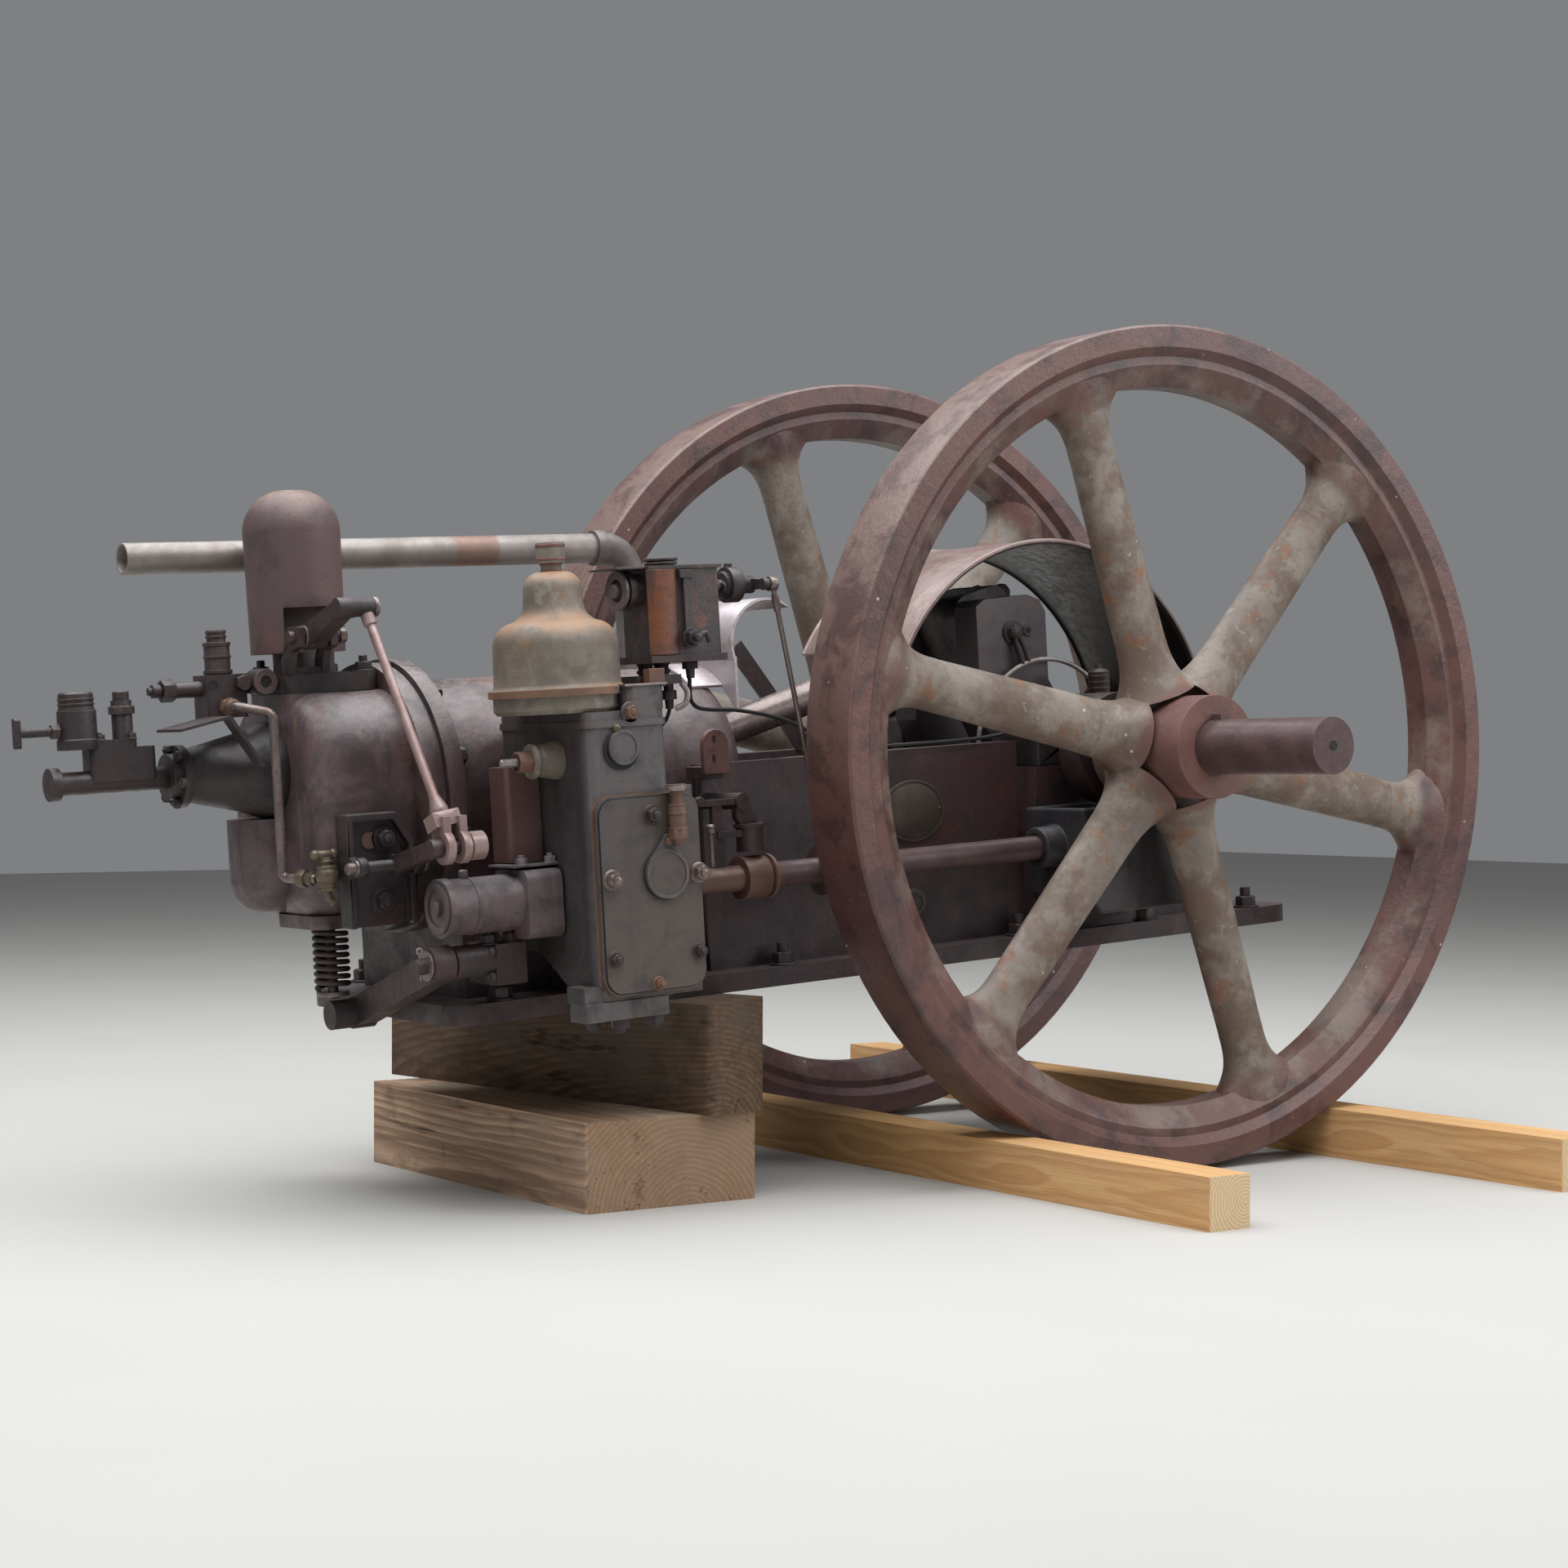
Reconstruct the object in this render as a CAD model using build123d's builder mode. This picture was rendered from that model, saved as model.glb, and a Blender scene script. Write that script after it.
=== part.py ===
from build123d import *
from math import sin, cos, tan, radians, degrees, sqrt, atan2, pi, hypot
import os

# Horizontal single-cylinder stationary oil engine with two six-spoke
# flywheels and a side shaft, standing on its wheels between two softwood
# chocks and, at the cylinder end, on a stack of two old timbers.
# Millimetres. +X towards the flywheels, -Y the side-shaft side, +Z up,
# floor at Z = 0. The engine itself leans down towards its cylinder end.

# ---- driving dimensions -------------------------------------------------
X0 = 551.88                # crank axis in the part's frame
Y0 = 45.0                # engine's mid-plane in the part's frame
WHEEL_R = 686.0         # flywheel outer radius (4 ft 6 in over the rim)
WHEEL_LIFT = 6.0        # rim clears the floor
AXLE_Z = WHEEL_R + WHEEL_LIFT
LEAN = 3.8              # engine pitched down to its cylinder end, degrees
RIM_W = 116.0           # rim width
WHEEL_GAP = 381.0       # mid-plane to the rim's inner face
HUB_R = 84.0
SPOKES = 6
SPOKE_DEG = -19.2
SHAFT_R = 47.0          # crankshaft in its bearings and under the hubs
STUB_R = 44.5           # 3 1/2 in stub for a pulley
SHAFT_END = 817.0       # near end of the crankshaft from the mid-plane
CRANK_R = 212.0
CRANK_DEG = 105.5        # crank pin's angle above +X at rest
PIN_R = 42.0
WEB_IN, WEB_OUT = 62.0, 122.0
ROD_LEN = 801.0
SWEEP_R = 300.0         # the crank, with the big end on it, turns inside this radius
BORE_R = 118.0
JACKET_R = 175.0
BED_TOP = 20.0
BED_BOTTOM = -335.0
SIDE_Y = -300.0         # side shaft axis
SIDE_Z = -155.0
SIDE_R = 20.0
PED_Y = 227.0           # near end of the bearing pedestal
FIT = 0.05              # radial clearance of a running fit



def turn(v):
    # a direction of the engine in the part's own frame
    a = radians(LEAN)
    return (v[0] * cos(a) - v[2] * sin(a), v[1], v[0] * sin(a) + v[2] * cos(a))


def eng(x, y, z):
    # a point of the engine in the part's own frame
    v = turn((x, y, z))
    return (X0 + v[0], Y0 + v[1], AXLE_Z + v[2])


def plane(origin, xd, zd):
    return Plane(origin=eng(*origin), x_dir=turn(xd), z_dir=turn(zd))


def side(y, x=0.0, z=0.0):
    # sketch in the engine's X-Z plane, extruded towards -Y
    return plane((x, y, z), (1, 0, 0), (0, -1, 0))


def front(x, y=0.0, z=0.0):
    # sketch in the engine's Y-Z plane, extruded towards +X
    return plane((x, y, z), (0, 1, 0), (1, 0, 0))


def top(z, x=0.0, y=0.0):
    # sketch in the engine's X-Y plane, extruded towards +Z
    return plane((x, y, z), (1, 0, 0), (0, 0, 1))


pieces = []


def keep(name, builder):
    builder.part.label = name
    pieces.append((name, builder.part))


# ---- flywheels and crankshaft --------------------------------------------
def build_wheel(sign):
    # sign -1 is the near wheel, +1 the far one
    yi = sign * WHEEL_GAP
    yo = yi + sign * RIM_W
    ym = (yi + yo) / 2
    hub_out = sign * 557.0
    hub_in = sign * 345.0
    with BuildPart() as wheel:
        with BuildSketch(Plane(origin=(X0, Y0 + max(hub_in, hub_out), AXLE_Z), x_dir=(1, 0, 0), z_dir=(0, -1, 0))) as s:
            Circle(HUB_R)
            Circle(SHAFT_R, mode=Mode.SUBTRACT)
        extrude(amount=abs(hub_out - hub_in))
        # rim, turned about the crank axis
        with BuildSketch(Plane(origin=(X0, Y0, AXLE_Z), x_dir=(0, 1, 0), z_dir=(1, 0, 0))) as s:
            with BuildLine() as l:
                Polyline([
                    (yi + sign * 4, WHEEL_R), (yo - sign * 4, WHEEL_R), (yo, WHEEL_R - 4),
                    (yo, 649), (yo - sign * 15, 636), (yo - sign * 13, 622),
                    (yo - sign * 20, 612), (ym + sign * 22, 588), (ym - sign * 22, 588),
                    (yi + sign * 20, 612), (yi + sign * 13, 622), (yi + sign * 15, 636),
                    (yi, 649), (yi, WHEEL_R - 4), (yi + sign * 4, WHEEL_R)])
            make_face()
        revolve(axis=Axis((X0, Y0, AXLE_Z), (0, 1, 0)), revolution_arc=360, clean=False)
        # spokes, oval and tapered
        for i in range(SPOKES):
            ang = SPOKE_DEG + 360.0 / SPOKES * i
            d = Vector(sin(radians(ang)), 0, cos(radians(ang)))
            t = Vector(cos(radians(ang)), 0, -sin(radians(ang)))
            c = Vector(X0, Y0 + ym, AXLE_Z)
            with BuildSketch(Plane(origin=c + d * 62, x_dir=t, z_dir=d)) as s0:
                Ellipse(48, 35)
            with BuildSketch(Plane(origin=c + d * 600, x_dir=t, z_dir=d)) as s1:
                Ellipse(40, 29)
            loft(sections=[s0.sketch.faces()[0], s1.sketch.faces()[0]], ruled=True, clean=False)
    return wheel


near_wheel = build_wheel(-1)
keep("flywheel_near", near_wheel)
far_wheel = build_wheel(1)
keep("flywheel_far", far_wheel)

# crankshaft: two journals, two webs and the pin, in one forging
pin_x = CRANK_R * cos(radians(CRANK_DEG))
pin_z = CRANK_R * sin(radians(CRANK_DEG))
with BuildPart() as crankshaft:
    with BuildSketch(side(-WEB_IN)) as s:
        Circle(SHAFT_R)
    extrude(amount=558 - WEB_IN)
    with BuildSketch(side(-558)) as s:
        Circle(STUB_R)
    extrude(amount=SHAFT_END - 558)
    with BuildSketch(side(-SHAFT_END)) as s:
        Circle(5)
    extrude(amount=-14, mode=Mode.SUBTRACT)
    with BuildSketch(side(600)) as s:
        Circle(SHAFT_R)
    extrude(amount=600 - WEB_IN)
    with BuildSketch(side(WEB_IN + 5)) as s:
        with Locations((pin_x, pin_z)):
            Circle(PIN_R)
    extrude(amount=2 * WEB_IN + 10)
    for y in (-WEB_IN, WEB_OUT):
        with BuildSketch(side(y)) as s:
            with BuildLine() as l:
                Polyline([(-134, 60), (-134, 250), (-116, 262), (-20, 268), (6, 258), (18, 238), (18, 120),
                          (77, 20), (77, -50), (46, -86), (-46, -86), (-77, -50), (-134, 60)])
            make_face()
        extrude(amount=WEB_OUT - WEB_IN)
keep("crankshaft", crankshaft)

# skew gear on the crankshaft, between the near bearing and the near hub
GEAR_Y = SIDE_Y
with BuildPart() as crank_gear:
    with BuildSketch(side(GEAR_Y + 26)) as s:
        Circle(94)
        Circle(SHAFT_R, mode=Mode.SUBTRACT)
    extrude(amount=52)
keep("crank_gear", crank_gear)

# ---- bed ------------------------------------------------------------------
with BuildPart() as bed:
    # side walls and floor of the trough
    with BuildSketch(side(200)) as s:
        with BuildLine() as l:
            Polyline([(-760, -306), (-760, BED_TOP), (-125, BED_TOP), (-125, -25), (130, -25),
                      (175, -55), (250, -110), (305, -190), (345, -306), (-760, -306)])
        make_face()
    extrude(amount=400)
    # narrower cradle under the cylinder
    with BuildSketch(side(170)) as s:
        with BuildLine() as l:
            Polyline([(-1178, -306), (-1178, -10), (-759, -10), (-759, -306), (-1178, -306)])
        make_face()
    extrude(amount=340)
    # base flange
    with BuildSketch(top(BED_BOTTOM)) as s:
        with Locations((-395, 0)):
            RectangleRounded(1690, 500, 40)
    extrude(amount=30)
    # bearing pedestals standing out from the walls
    with BuildSketch(side(262)) as s:
        with BuildLine() as l:
            Polyline([(-130, -306), (-105, -25), (105, -25), (140, -306), (-130, -306)])
        make_face()
    extrude(amount=262 + PED_Y)
    # crank pit and rod trough
    with BuildSketch(top(-285)) as s:
        with Locations((-155, 0)):
            RectangleRounded(830, 300, 30)
    extrude(amount=400, mode=Mode.SUBTRACT)
    with BuildSketch(side(150)) as s:
        Circle(SWEEP_R)
    extrude(amount=300, mode=Mode.SUBTRACT)
    # cylinder's seat
    with BuildSketch(front(-1300)) as s:
        Circle(JACKET_R + 0.1)
    extrude(amount=730, mode=Mode.SUBTRACT)
    # main bearings' bores in the lower half
    with BuildSketch(side(300)) as s:
        Circle(62)
    extrude(amount=600, mode=Mode.SUBTRACT)
keep("bed", bed)

# ---- cylinder ---------------------------------------------------------------
AX = Vector(*eng(1, 0, 0)) - Vector(*eng(0, 0, 0))      # engine's own X in the part's frame
AZ = Vector(*eng(0, 0, 1)) - Vector(*eng(0, 0, 0))      # engine's own Z
with BuildPart() as jacket:
    with BuildSketch(side(0)) as s:
        with BuildLine() as l:
            Polyline([(-1178, BORE_R), (-1178, JACKET_R), (-700, JACKET_R)])
            ThreePointArc((-700, JACKET_R), (-662, JACKET_R - 14), (-645, JACKET_R - 48))
            Polyline([(-645, JACKET_R - 48), (-645, BORE_R), (-1178, BORE_R)])
        make_face()
    revolve(axis=Axis(eng(0, 0, 0), AX), revolution_arc=360)
keep("cylinder_jacket", jacket)

with BuildPart() as head_flange:
    with BuildSketch(front(-1240)) as s:
        Circle(205)
    extrude(amount=28)
    with BuildSketch(front(-1212)) as s:
        Circle(199)
    extrude(amount=6)
    with BuildSketch(front(-1206)) as s:
        Circle(210)
    extrude(amount=28)
keep("head_flange", head_flange)

piston_x = pin_x - sqrt(ROD_LEN ** 2 - pin_z ** 2)
with BuildPart() as piston:
    with BuildSketch(front(piston_x - 110)) as s:
        Circle(BORE_R - FIT)
    extrude(amount=50)
    with BuildSketch(front(piston_x - 60)) as s:
        Circle(BORE_R - FIT)
        Circle(BORE_R - 18, mode=Mode.SUBTRACT)
    extrude(amount=210)
keep("piston", piston)

rod_deg = degrees(atan2(pin_z, pin_x - piston_x))


def rodp(y):
    a = radians(rod_deg)
    return plane((pin_x, y, pin_z), (cos(a), 0, sin(a)), (0, -1, 0))


with BuildPart() as big_end:
    with BuildSketch(rodp(56)) as s:
        RectangleRounded(120, 156, 30)
        Circle(PIN_R + FIT, mode=Mode.SUBTRACT)
    extrude(amount=112)
keep("rod_big_end", big_end)

# round tapered shank, ended short of the sweep of the crank
with BuildPart() as rod:
    with BuildSketch(rodp(40)) as s:
        with Locations((-ROD_LEN + 20, 0)):
            RectangleRounded(110, 84, 20)
    extrude(amount=80)
    with BuildSketch(plane((piston_x, 0, 0), (0, 1, 0), (cos(radians(rod_deg)), 0, sin(radians(rod_deg))))) as s0:
        Circle(24)
    with BuildSketch(plane((piston_x + 570 * cos(radians(rod_deg)), 0, 570 * sin(radians(rod_deg))), (0, 1, 0), (cos(radians(rod_deg)), 0, sin(radians(rod_deg))))) as s1:
        Circle(30)
    loft(sections=[s0.sketch.faces()[0], s1.sketch.faces()[0]], ruled=True)
keep("connecting_rod", rod)

# ---- main bearings ----------------------------------------------------------
for name, y, w in (("main_bearing_near", -152, PED_Y - 152), ("main_bearing_far", 262, 110)):
    with BuildPart() as brg:
        with BuildSketch(side(y)) as s:
            Circle(62)
            with BuildLine() as l:
                Polyline([(-100, -25), (-100, 58), (-58, 92), (58, 92), (100, 58), (100, -25), (-100, -25)])
            make_face()
            Circle(SHAFT_R + FIT, mode=Mode.SUBTRACT)
        extrude(amount=w)
    keep(name, brg)

# ---- guards -----------------------------------------------------------------
HOOD_R = 360.0


def at_angle(r, a):
    return (r * cos(radians(a)), r * sin(radians(a)))


with BuildPart() as hood:
    with BuildSketch(side(150)) as s:
        with BuildLine() as l:
            CenterArc((0, 0), HOOD_R, 8, 141)
            CenterArc((0, 0), HOOD_R - 5, 8, 141)
            Line(at_angle(HOOD_R, 8), at_angle(HOOD_R - 5, 8))
            Line(at_angle(HOOD_R, 149), at_angle(HOOD_R - 5, 149))
        make_face()
    extrude(amount=300)
    # two flat stays reach down to the pit's inner walls
    for y in (-144, 149.8):
        with BuildSketch(side(y)) as s:
            with BuildLine() as l:
                Polyline([(357, 24), (346, 90), (334, 96), (150, -50), (165, -70), (357, 24)])
            make_face()
        extrude(amount=5.8)
keep("crank_hood", hood)

with BuildPart() as rod_guard:
    with BuildSketch(side(150)) as s:
        with BuildLine() as l:
            ThreePointArc((-652, 180), (-657, 206), (-545, 266))
            Line((-545, 266), (-543, 261))
            ThreePointArc((-543, 261), (-652, 203), (-647, 180))
            Line((-647, 180), (-652, 180))
        make_face()
    extrude(amount=300)
    # upright sheet over the jacket's nose, and the strap it is screwed to
    with BuildSketch(front(-652)) as s:
        with BuildLine() as l:
            Polyline([(-150, 100), (-150, 186), (150, 186), (150, 100), (-150, 100)])
        make_face()
        Circle(JACKET_R + 0.6, mode=Mode.SUBTRACT)
    extrude(amount=5)
    with BuildSketch(front(-652)) as s:
        with BuildLine() as l:
            CenterArc((0, 0), 180, 52, 76)
            CenterArc((0, 0), 175.6, 52, 76)
            Line(at_angle(180, 52), at_angle(175.6, 52))
            Line(at_angle(180, 128), at_angle(175.6, 128))
        make_face()
    extrude(amount=-60)
    # notch for the water pipe
    with BuildSketch(top(60, -677, 118)) as s:
        Circle(40)
    extrude(amount=300, mode=Mode.SUBTRACT)
keep("rod_guard", rod_guard)

# ---- head -------------------------------------------------------------------
with BuildPart() as head:
    with BuildSketch(front(-1395, 0, -5)) as s:
        RectangleRounded(330, 340, 110)
    extrude(amount=155)
    fillet(head.faces().sort_by(Axis(eng(0, 0, 0), AX))[0].edges(), 44)
    # seat of the top plate
    with BuildSketch(top(60)) as s:
        with Locations((-1317, 0)):
            RectangleRounded(150, 150, 20)
    extrude(amount=105)
    # exhaust branch, low at the front
    with BuildSketch(side(30, -1385)) as s:
        with BuildLine() as l:
            Polyline([(0, -20), (66, -20), (66, -108)])
            ThreePointArc((66, -108), (54, -146), (22, -162))
            Polyline([(22, -162), (0, -162), (0, -20)])
        make_face()
    revolve(axis=Axis(eng(-1385, 30, 0), AZ), revolution_arc=360)
    # flange of the valve chest underneath
    with BuildSketch(top(-186)) as s:
        with Locations((-1322, -30)):
            RectangleRounded(120, 150, 20)
    extrude(amount=20)
keep("cylinder_head", head)

VZ = 52.0
with BuildPart() as vaporiser:
    with BuildSketch(side(0, 0, VZ)) as s:
        with BuildLine() as l:
            Polyline([(-1395, 0), (-1395, 72), (-1410, 72), (-1450, 58), (-1535, 38), (-1535, 46),
                      (-1547, 46), (-1547, 34), (-1560, 34), (-1560, 0), (-1395, 0)])
        make_face()
    revolve(axis=Axis(eng(0, 0, VZ), AX), revolution_arc=360)
    with BuildSketch(top(-30)) as s:
        with Locations((-1385, 30)):
            Circle(66.2)
    extrude(amount=10.2, mode=Mode.SUBTRACT)
keep("vaporiser", vaporiser)

with BuildPart() as fuel_valve:
    with BuildSketch(front(-1725, 0, VZ)) as s:
        Circle(17)
    extrude(amount=165)
    with BuildSketch(front(-1738, 0, VZ)) as s:
        Circle(24)
    extrude(amount=14)
    with BuildSketch(top(VZ)) as s:
        with Locations((-1630, 0)):
            RectangleRounded(100, 40, 8)
    extrude(amount=48)
keep("fuel_valve", fuel_valve)

with BuildPart() as fuel_strainer:
    with BuildSketch(top(100)) as s:
        with Locations((-1656, 0)):
            RectangleRounded(98, 40, 8)
    extrude(amount=12)
    with BuildSketch(side(0, -1690)) as s:
        with BuildLine() as l:
            Polyline([(0, 100), (30, 100), (30, 114), (28, 116), (28, 156), (25, 158), (25, 180), (22, 183), (0, 183), (0, 100)])
        make_face()
    revolve(axis=Axis(eng(-1690, 0, 0), AZ), revolution_arc=360)
    with BuildSketch(top(100)) as s:
        with Locations((-1622, 0)):
            Circle(15)
    extrude(amount=68)
    # thumb screw
    with BuildSketch(front(-1784, 0, 128)) as s:
        RectangleRounded(12, 44, 5)
    extrude(amount=9)
    with BuildSketch(front(-1776, 0, 128)) as s:
        Circle(7)
    extrude(amount=64)
keep("fuel_strainer", fuel_strainer)

with BuildPart() as head_top_plate:
    with BuildSketch(top(165)) as s:
        with Locations((-1317, 0)):
            RectangleRounded(150, 150, 20)
    extrude(amount=28)
    with BuildSketch(top(193)) as s:
        with Locations((-1325, 10)):
            Circle(46)
    extrude(amount=32)
keep("head_top_plate", head_top_plate)

with BuildPart() as dome:
    with BuildSketch(side(10, -1333)) as s:
        with BuildLine() as l:
            Polyline([(0, 225), (71, 225), (73, 405)])
            ThreePointArc((73, 405), (54, 452), (12, 470))
            Polyline([(12, 470), (0, 470), (0, 225)])
        make_face()
    revolve(axis=Axis(eng(-1333, 10, 0), AZ), revolution_arc=360)
    # recess over the rocker
    with BuildSketch(top(220)) as s:
        with Locations((-1312, -62)):
            Rectangle(134, 96)
    extrude(amount=72, mode=Mode.SUBTRACT)
keep("air_silencer", dome)

with BuildPart() as valve_block:
    with BuildSketch(top(134)) as s:
        with Locations((-1467, 0)):
            RectangleRounded(64, 56, 6)
    extrude(amount=64)
    with BuildSketch(top(198)) as s:
        with Locations((-1469, 0)):
            Circle(19)
    extrude(amount=48)
    with BuildSketch(top(246)) as s:
        with Locations((-1469, 0)):
            Circle(14)
    extrude(amount=18)
    with BuildSketch(front(-1560, 0, 178)) as s:
        Circle(12)
    extrude(amount=62)
    with BuildSketch(front(-1436, 0, 180)) as s:
        Rectangle(34, 24)
    extrude(amount=44)
    with BuildSketch(side(-10, -1414, 184)) as s:
        Circle(20)
    extrude(amount=34)
keep("valve_block", valve_block)

with BuildPart() as drip_shield:
    with BuildSketch(side(-12)) as s:
        with BuildLine() as l:
            Polyline([(-1575, 118), (-1499.6, 133), (-1499.6, 137), (-1575, 122), (-1575, 118)])
        make_face()
    extrude(amount=92)
    with BuildSketch(side(-76)) as s:
        with BuildLine() as l:
            Polyline([(-1500, 133), (-1452, 60), (-1448, 62), (-1496, 137), (-1500, 137), (-1500, 133)])
        make_face()
    extrude(amount=28)
keep("drip_shield", drip_shield)

# ---- inlet valve gear ---------------------------------------------------------
ROCK_X, ROCK_Y, ROCK_Z = -1357.0, -96.0, 247.0
with BuildPart() as rocker_post:
    with BuildSketch(top(193)) as s:
        with Locations((-1384, -62), (-1330, -62)):
            Rectangle(12, 24)
    extrude(amount=8)
    for x in (-1390, -1336):
        with BuildSketch(front(x)) as s:
            with BuildLine() as l:
                Polyline([(-74, 193), (-50, 193), (-50, 215), (-80, 262), (-112, 262), (-112, 232), (-86, 226), (-74, 193)])
            make_face()
            with Locations((ROCK_Y, ROCK_Z)):
                Circle(9, mode=Mode.SUBTRACT)
        extrude(amount=12)
    with BuildSketch(top(193)) as s:
        with Locations((-1357, -62)):
            Rectangle(60, 20)
    extrude(amount=10)
keep("rocker_post", rocker_post)

ROD_TOP = (-1357.0, -206.0, 284.0)
with BuildPart() as rocker:
    with BuildSketch(front(-1371)) as s:
        with Locations((ROCK_Y, ROCK_Z)):
            Circle(19)
        with Locations((ROD_TOP[1], ROD_TOP[2])):
            Circle(15)
        with BuildLine() as l:
            Polyline([(ROCK_Y - 4, ROCK_Z - 16), (ROCK_Y + 6, ROCK_Z + 16), (ROD_TOP[1] + 2, ROD_TOP[2] + 12),
                      (ROD_TOP[1] - 2, ROD_TOP[2] - 10), (ROCK_Y - 4, ROCK_Z - 16)])
        make_face()
        with BuildLine() as l:
            Polyline([(ROCK_Y, ROCK_Z - 14), (ROCK_Y, ROCK_Z + 14), (-24, ROCK_Z + 4), (-24, ROCK_Z - 9), (ROCK_Y, ROCK_Z - 14)])
        make_face()
    extrude(amount=28)
    with BuildSketch(front(-1398)) as s:
        with Locations((ROCK_Y, ROCK_Z)):
            Circle(9 - FIT)
    extrude(amount=82)
    with BuildSketch(front(-1357)) as s:
        with Locations((ROD_TOP[1], ROD_TOP[2])):
            Circle(14)
    extrude(amount=44)
keep("inlet_rocker", rocker)

LEV_X, LEV_Y, LEV_Z = -1320.0, -218.0, -92.0       # inlet lever's pivot
ROD_BOT = (-1290.0, -338.0, -66.0)
with BuildPart() as lever_bracket:
    with BuildSketch(side(-165.2)) as s:
        with BuildLine() as l:
            Polyline([(-1372, -15), (-1290, -15), (-1262, -60), (-1262, -181), (-1372, -181), (-1372, -15)])
        make_face()
    extrude(amount=34.8)
    with BuildSketch(side(-184)) as s:
        with BuildLine() as l:
            Polyline([(-1361, -26), (-1296, -26), (-1273, -64), (-1273, -190), (-1361, -190), (-1361, -26)])
        make_face()
    extrude(amount=30, mode=Mode.SUBTRACT)
    with BuildSketch(front(-1368)) as s:
        with Locations((LEV_Y, LEV_Z)):
            Circle(15)
        with Locations((LEV_Y + 17, LEV_Z)):
            Rectangle(34, 26)
        with Locations((LEV_Y, LEV_Z)):
            Circle(9, mode=Mode.SUBTRACT)
    extrude(amount=14)
    with BuildSketch(front(-1280)) as s:
        with Locations((LEV_Y, LEV_Z)):
            Circle(15)
        with Locations((LEV_Y + 17, LEV_Z)):
            Rectangle(34, 26)
        with Locations((LEV_Y, LEV_Z)):
            Circle(9, mode=Mode.SUBTRACT)
    extrude(amount=14)
keep("lever_bracket", lever_bracket)

with BuildPart() as inlet_lever:
    with BuildSketch(front(-1372)) as s:
        with Locations((LEV_Y, LEV_Z)):
            Circle(9 - FIT)
    extrude(amount=112)
    with BuildSketch(front(-1312)) as s:
        with Locations((LEV_Y, LEV_Z)):
            Circle(16)
        with Locations((ROD_BOT[1], ROD_BOT[2])):
            Circle(14)
        with BuildLine() as l:
            Polyline([(LEV_Y, LEV_Z - 14), (LEV_Y, LEV_Z + 14), (ROD_BOT[1], ROD_BOT[2] + 12), (ROD_BOT[1], ROD_BOT[2] - 12), (LEV_Y, LEV_Z - 14)])
        make_face()
    extrude(amount=18)
    with BuildSketch(front(-1312)) as s:
        with Locations((ROD_BOT[1], ROD_BOT[2])):
            Circle(9 - FIT)
    extrude(amount=84)
    with BuildSketch(front(-1250)) as s:
        with Locations((ROD_BOT[1], ROD_BOT[2])):
            Circle(20)
    extrude(amount=23)
keep("inlet_lever", inlet_lever)

# push rod with its clevis, leaning in towards the rocker
top_p = Vector(*eng(-1326, ROD_TOP[1], ROD_TOP[2]))
bot_p = Vector(*eng(-1274, ROD_BOT[1], ROD_BOT[2]))
rod_v = (top_p - bot_p).normalized()
with BuildPart() as push_rod:
    with BuildSketch(Plane(origin=bot_p + rod_v * 50, x_dir=(1, 0, 0), z_dir=rod_v)) as s:
        Circle(7)
    extrude(amount=(top_p - bot_p).length - 50 - 16)
    with BuildSketch(Plane(origin=bot_p + rod_v * 30, x_dir=(1, 0, 0), z_dir=rod_v)) as s:
        Rectangle(44, 30)
    extrude(amount=22)
    for x in (-1292, -1266):
        with BuildSketch(front(x)) as s:
            with Locations((ROD_BOT[1], ROD_BOT[2])):
                Circle(24)
            with Locations((ROD_BOT[1] + 9, ROD_BOT[2] + 25)):
                Rectangle(38, 40)
            with Locations((ROD_BOT[1], ROD_BOT[2])):
                Circle(11.2, mode=Mode.SUBTRACT)
        extrude(amount=12)
keep("push_rod", push_rod)

# ---- side shaft -----------------------------------------------------------------
with BuildPart() as side_shaft:
    with BuildSketch(front(-1266, SIDE_Y, SIDE_Z)) as s:
        Circle(SIDE_R)
    extrude(amount=1296)
    for x, r, w in ((-765, 33, 44), (-716, 30, 8), (-612, 40, 40), (-28, 54, 56)):
        with BuildSketch(front(x, SIDE_Y, SIDE_Z)) as s:
            Circle(r)
        extrude(amount=w)
keep("side_shaft", side_shaft)

with BuildPart() as gear_case:
    with BuildSketch(side(-PED_Y - 1)) as s:
        with BuildLine() as l:
            Polyline([(-135, -92), (-135, -235), (-105, -268), (120, -268), (150, -235), (150, -92), (-135, -92)])
        make_face()
    extrude(amount=152)
    with BuildSketch(side(-239)) as s:
        with Locations((5, -155)):
            Rectangle(250, 190)
    extrude(amount=132, mode=Mode.SUBTRACT)
    with BuildSketch(front(-175, SIDE_Y, SIDE_Z)) as s:
        Circle(34)
    extrude(amount=42)
    with BuildSketch(front(-180, SIDE_Y, SIDE_Z)) as s:
        Circle(SIDE_R + FIT)
    extrude(amount=100, mode=Mode.SUBTRACT)
keep("gear_case", gear_case)

with BuildPart() as front_bearing:
    with BuildSketch(front(-1283, SIDE_Y, SIDE_Z)) as s:
        Circle(43)
    extrude(amount=14)
    with BuildSketch(front(-1270, SIDE_Y, SIDE_Z)) as s:
        Circle(41)
        Circle(SIDE_R + FIT, mode=Mode.SUBTRACT)
    extrude(amount=108)
    with BuildSketch(front(-1162, SIDE_Y, SIDE_Z)) as s:
        with Locations((0, -4)):
            RectangleRounded(98, 100, 16)
        Circle(SIDE_R + FIT, mode=Mode.SUBTRACT)
    extrude(amount=58)
keep("side_shaft_bearing", front_bearing)

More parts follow.
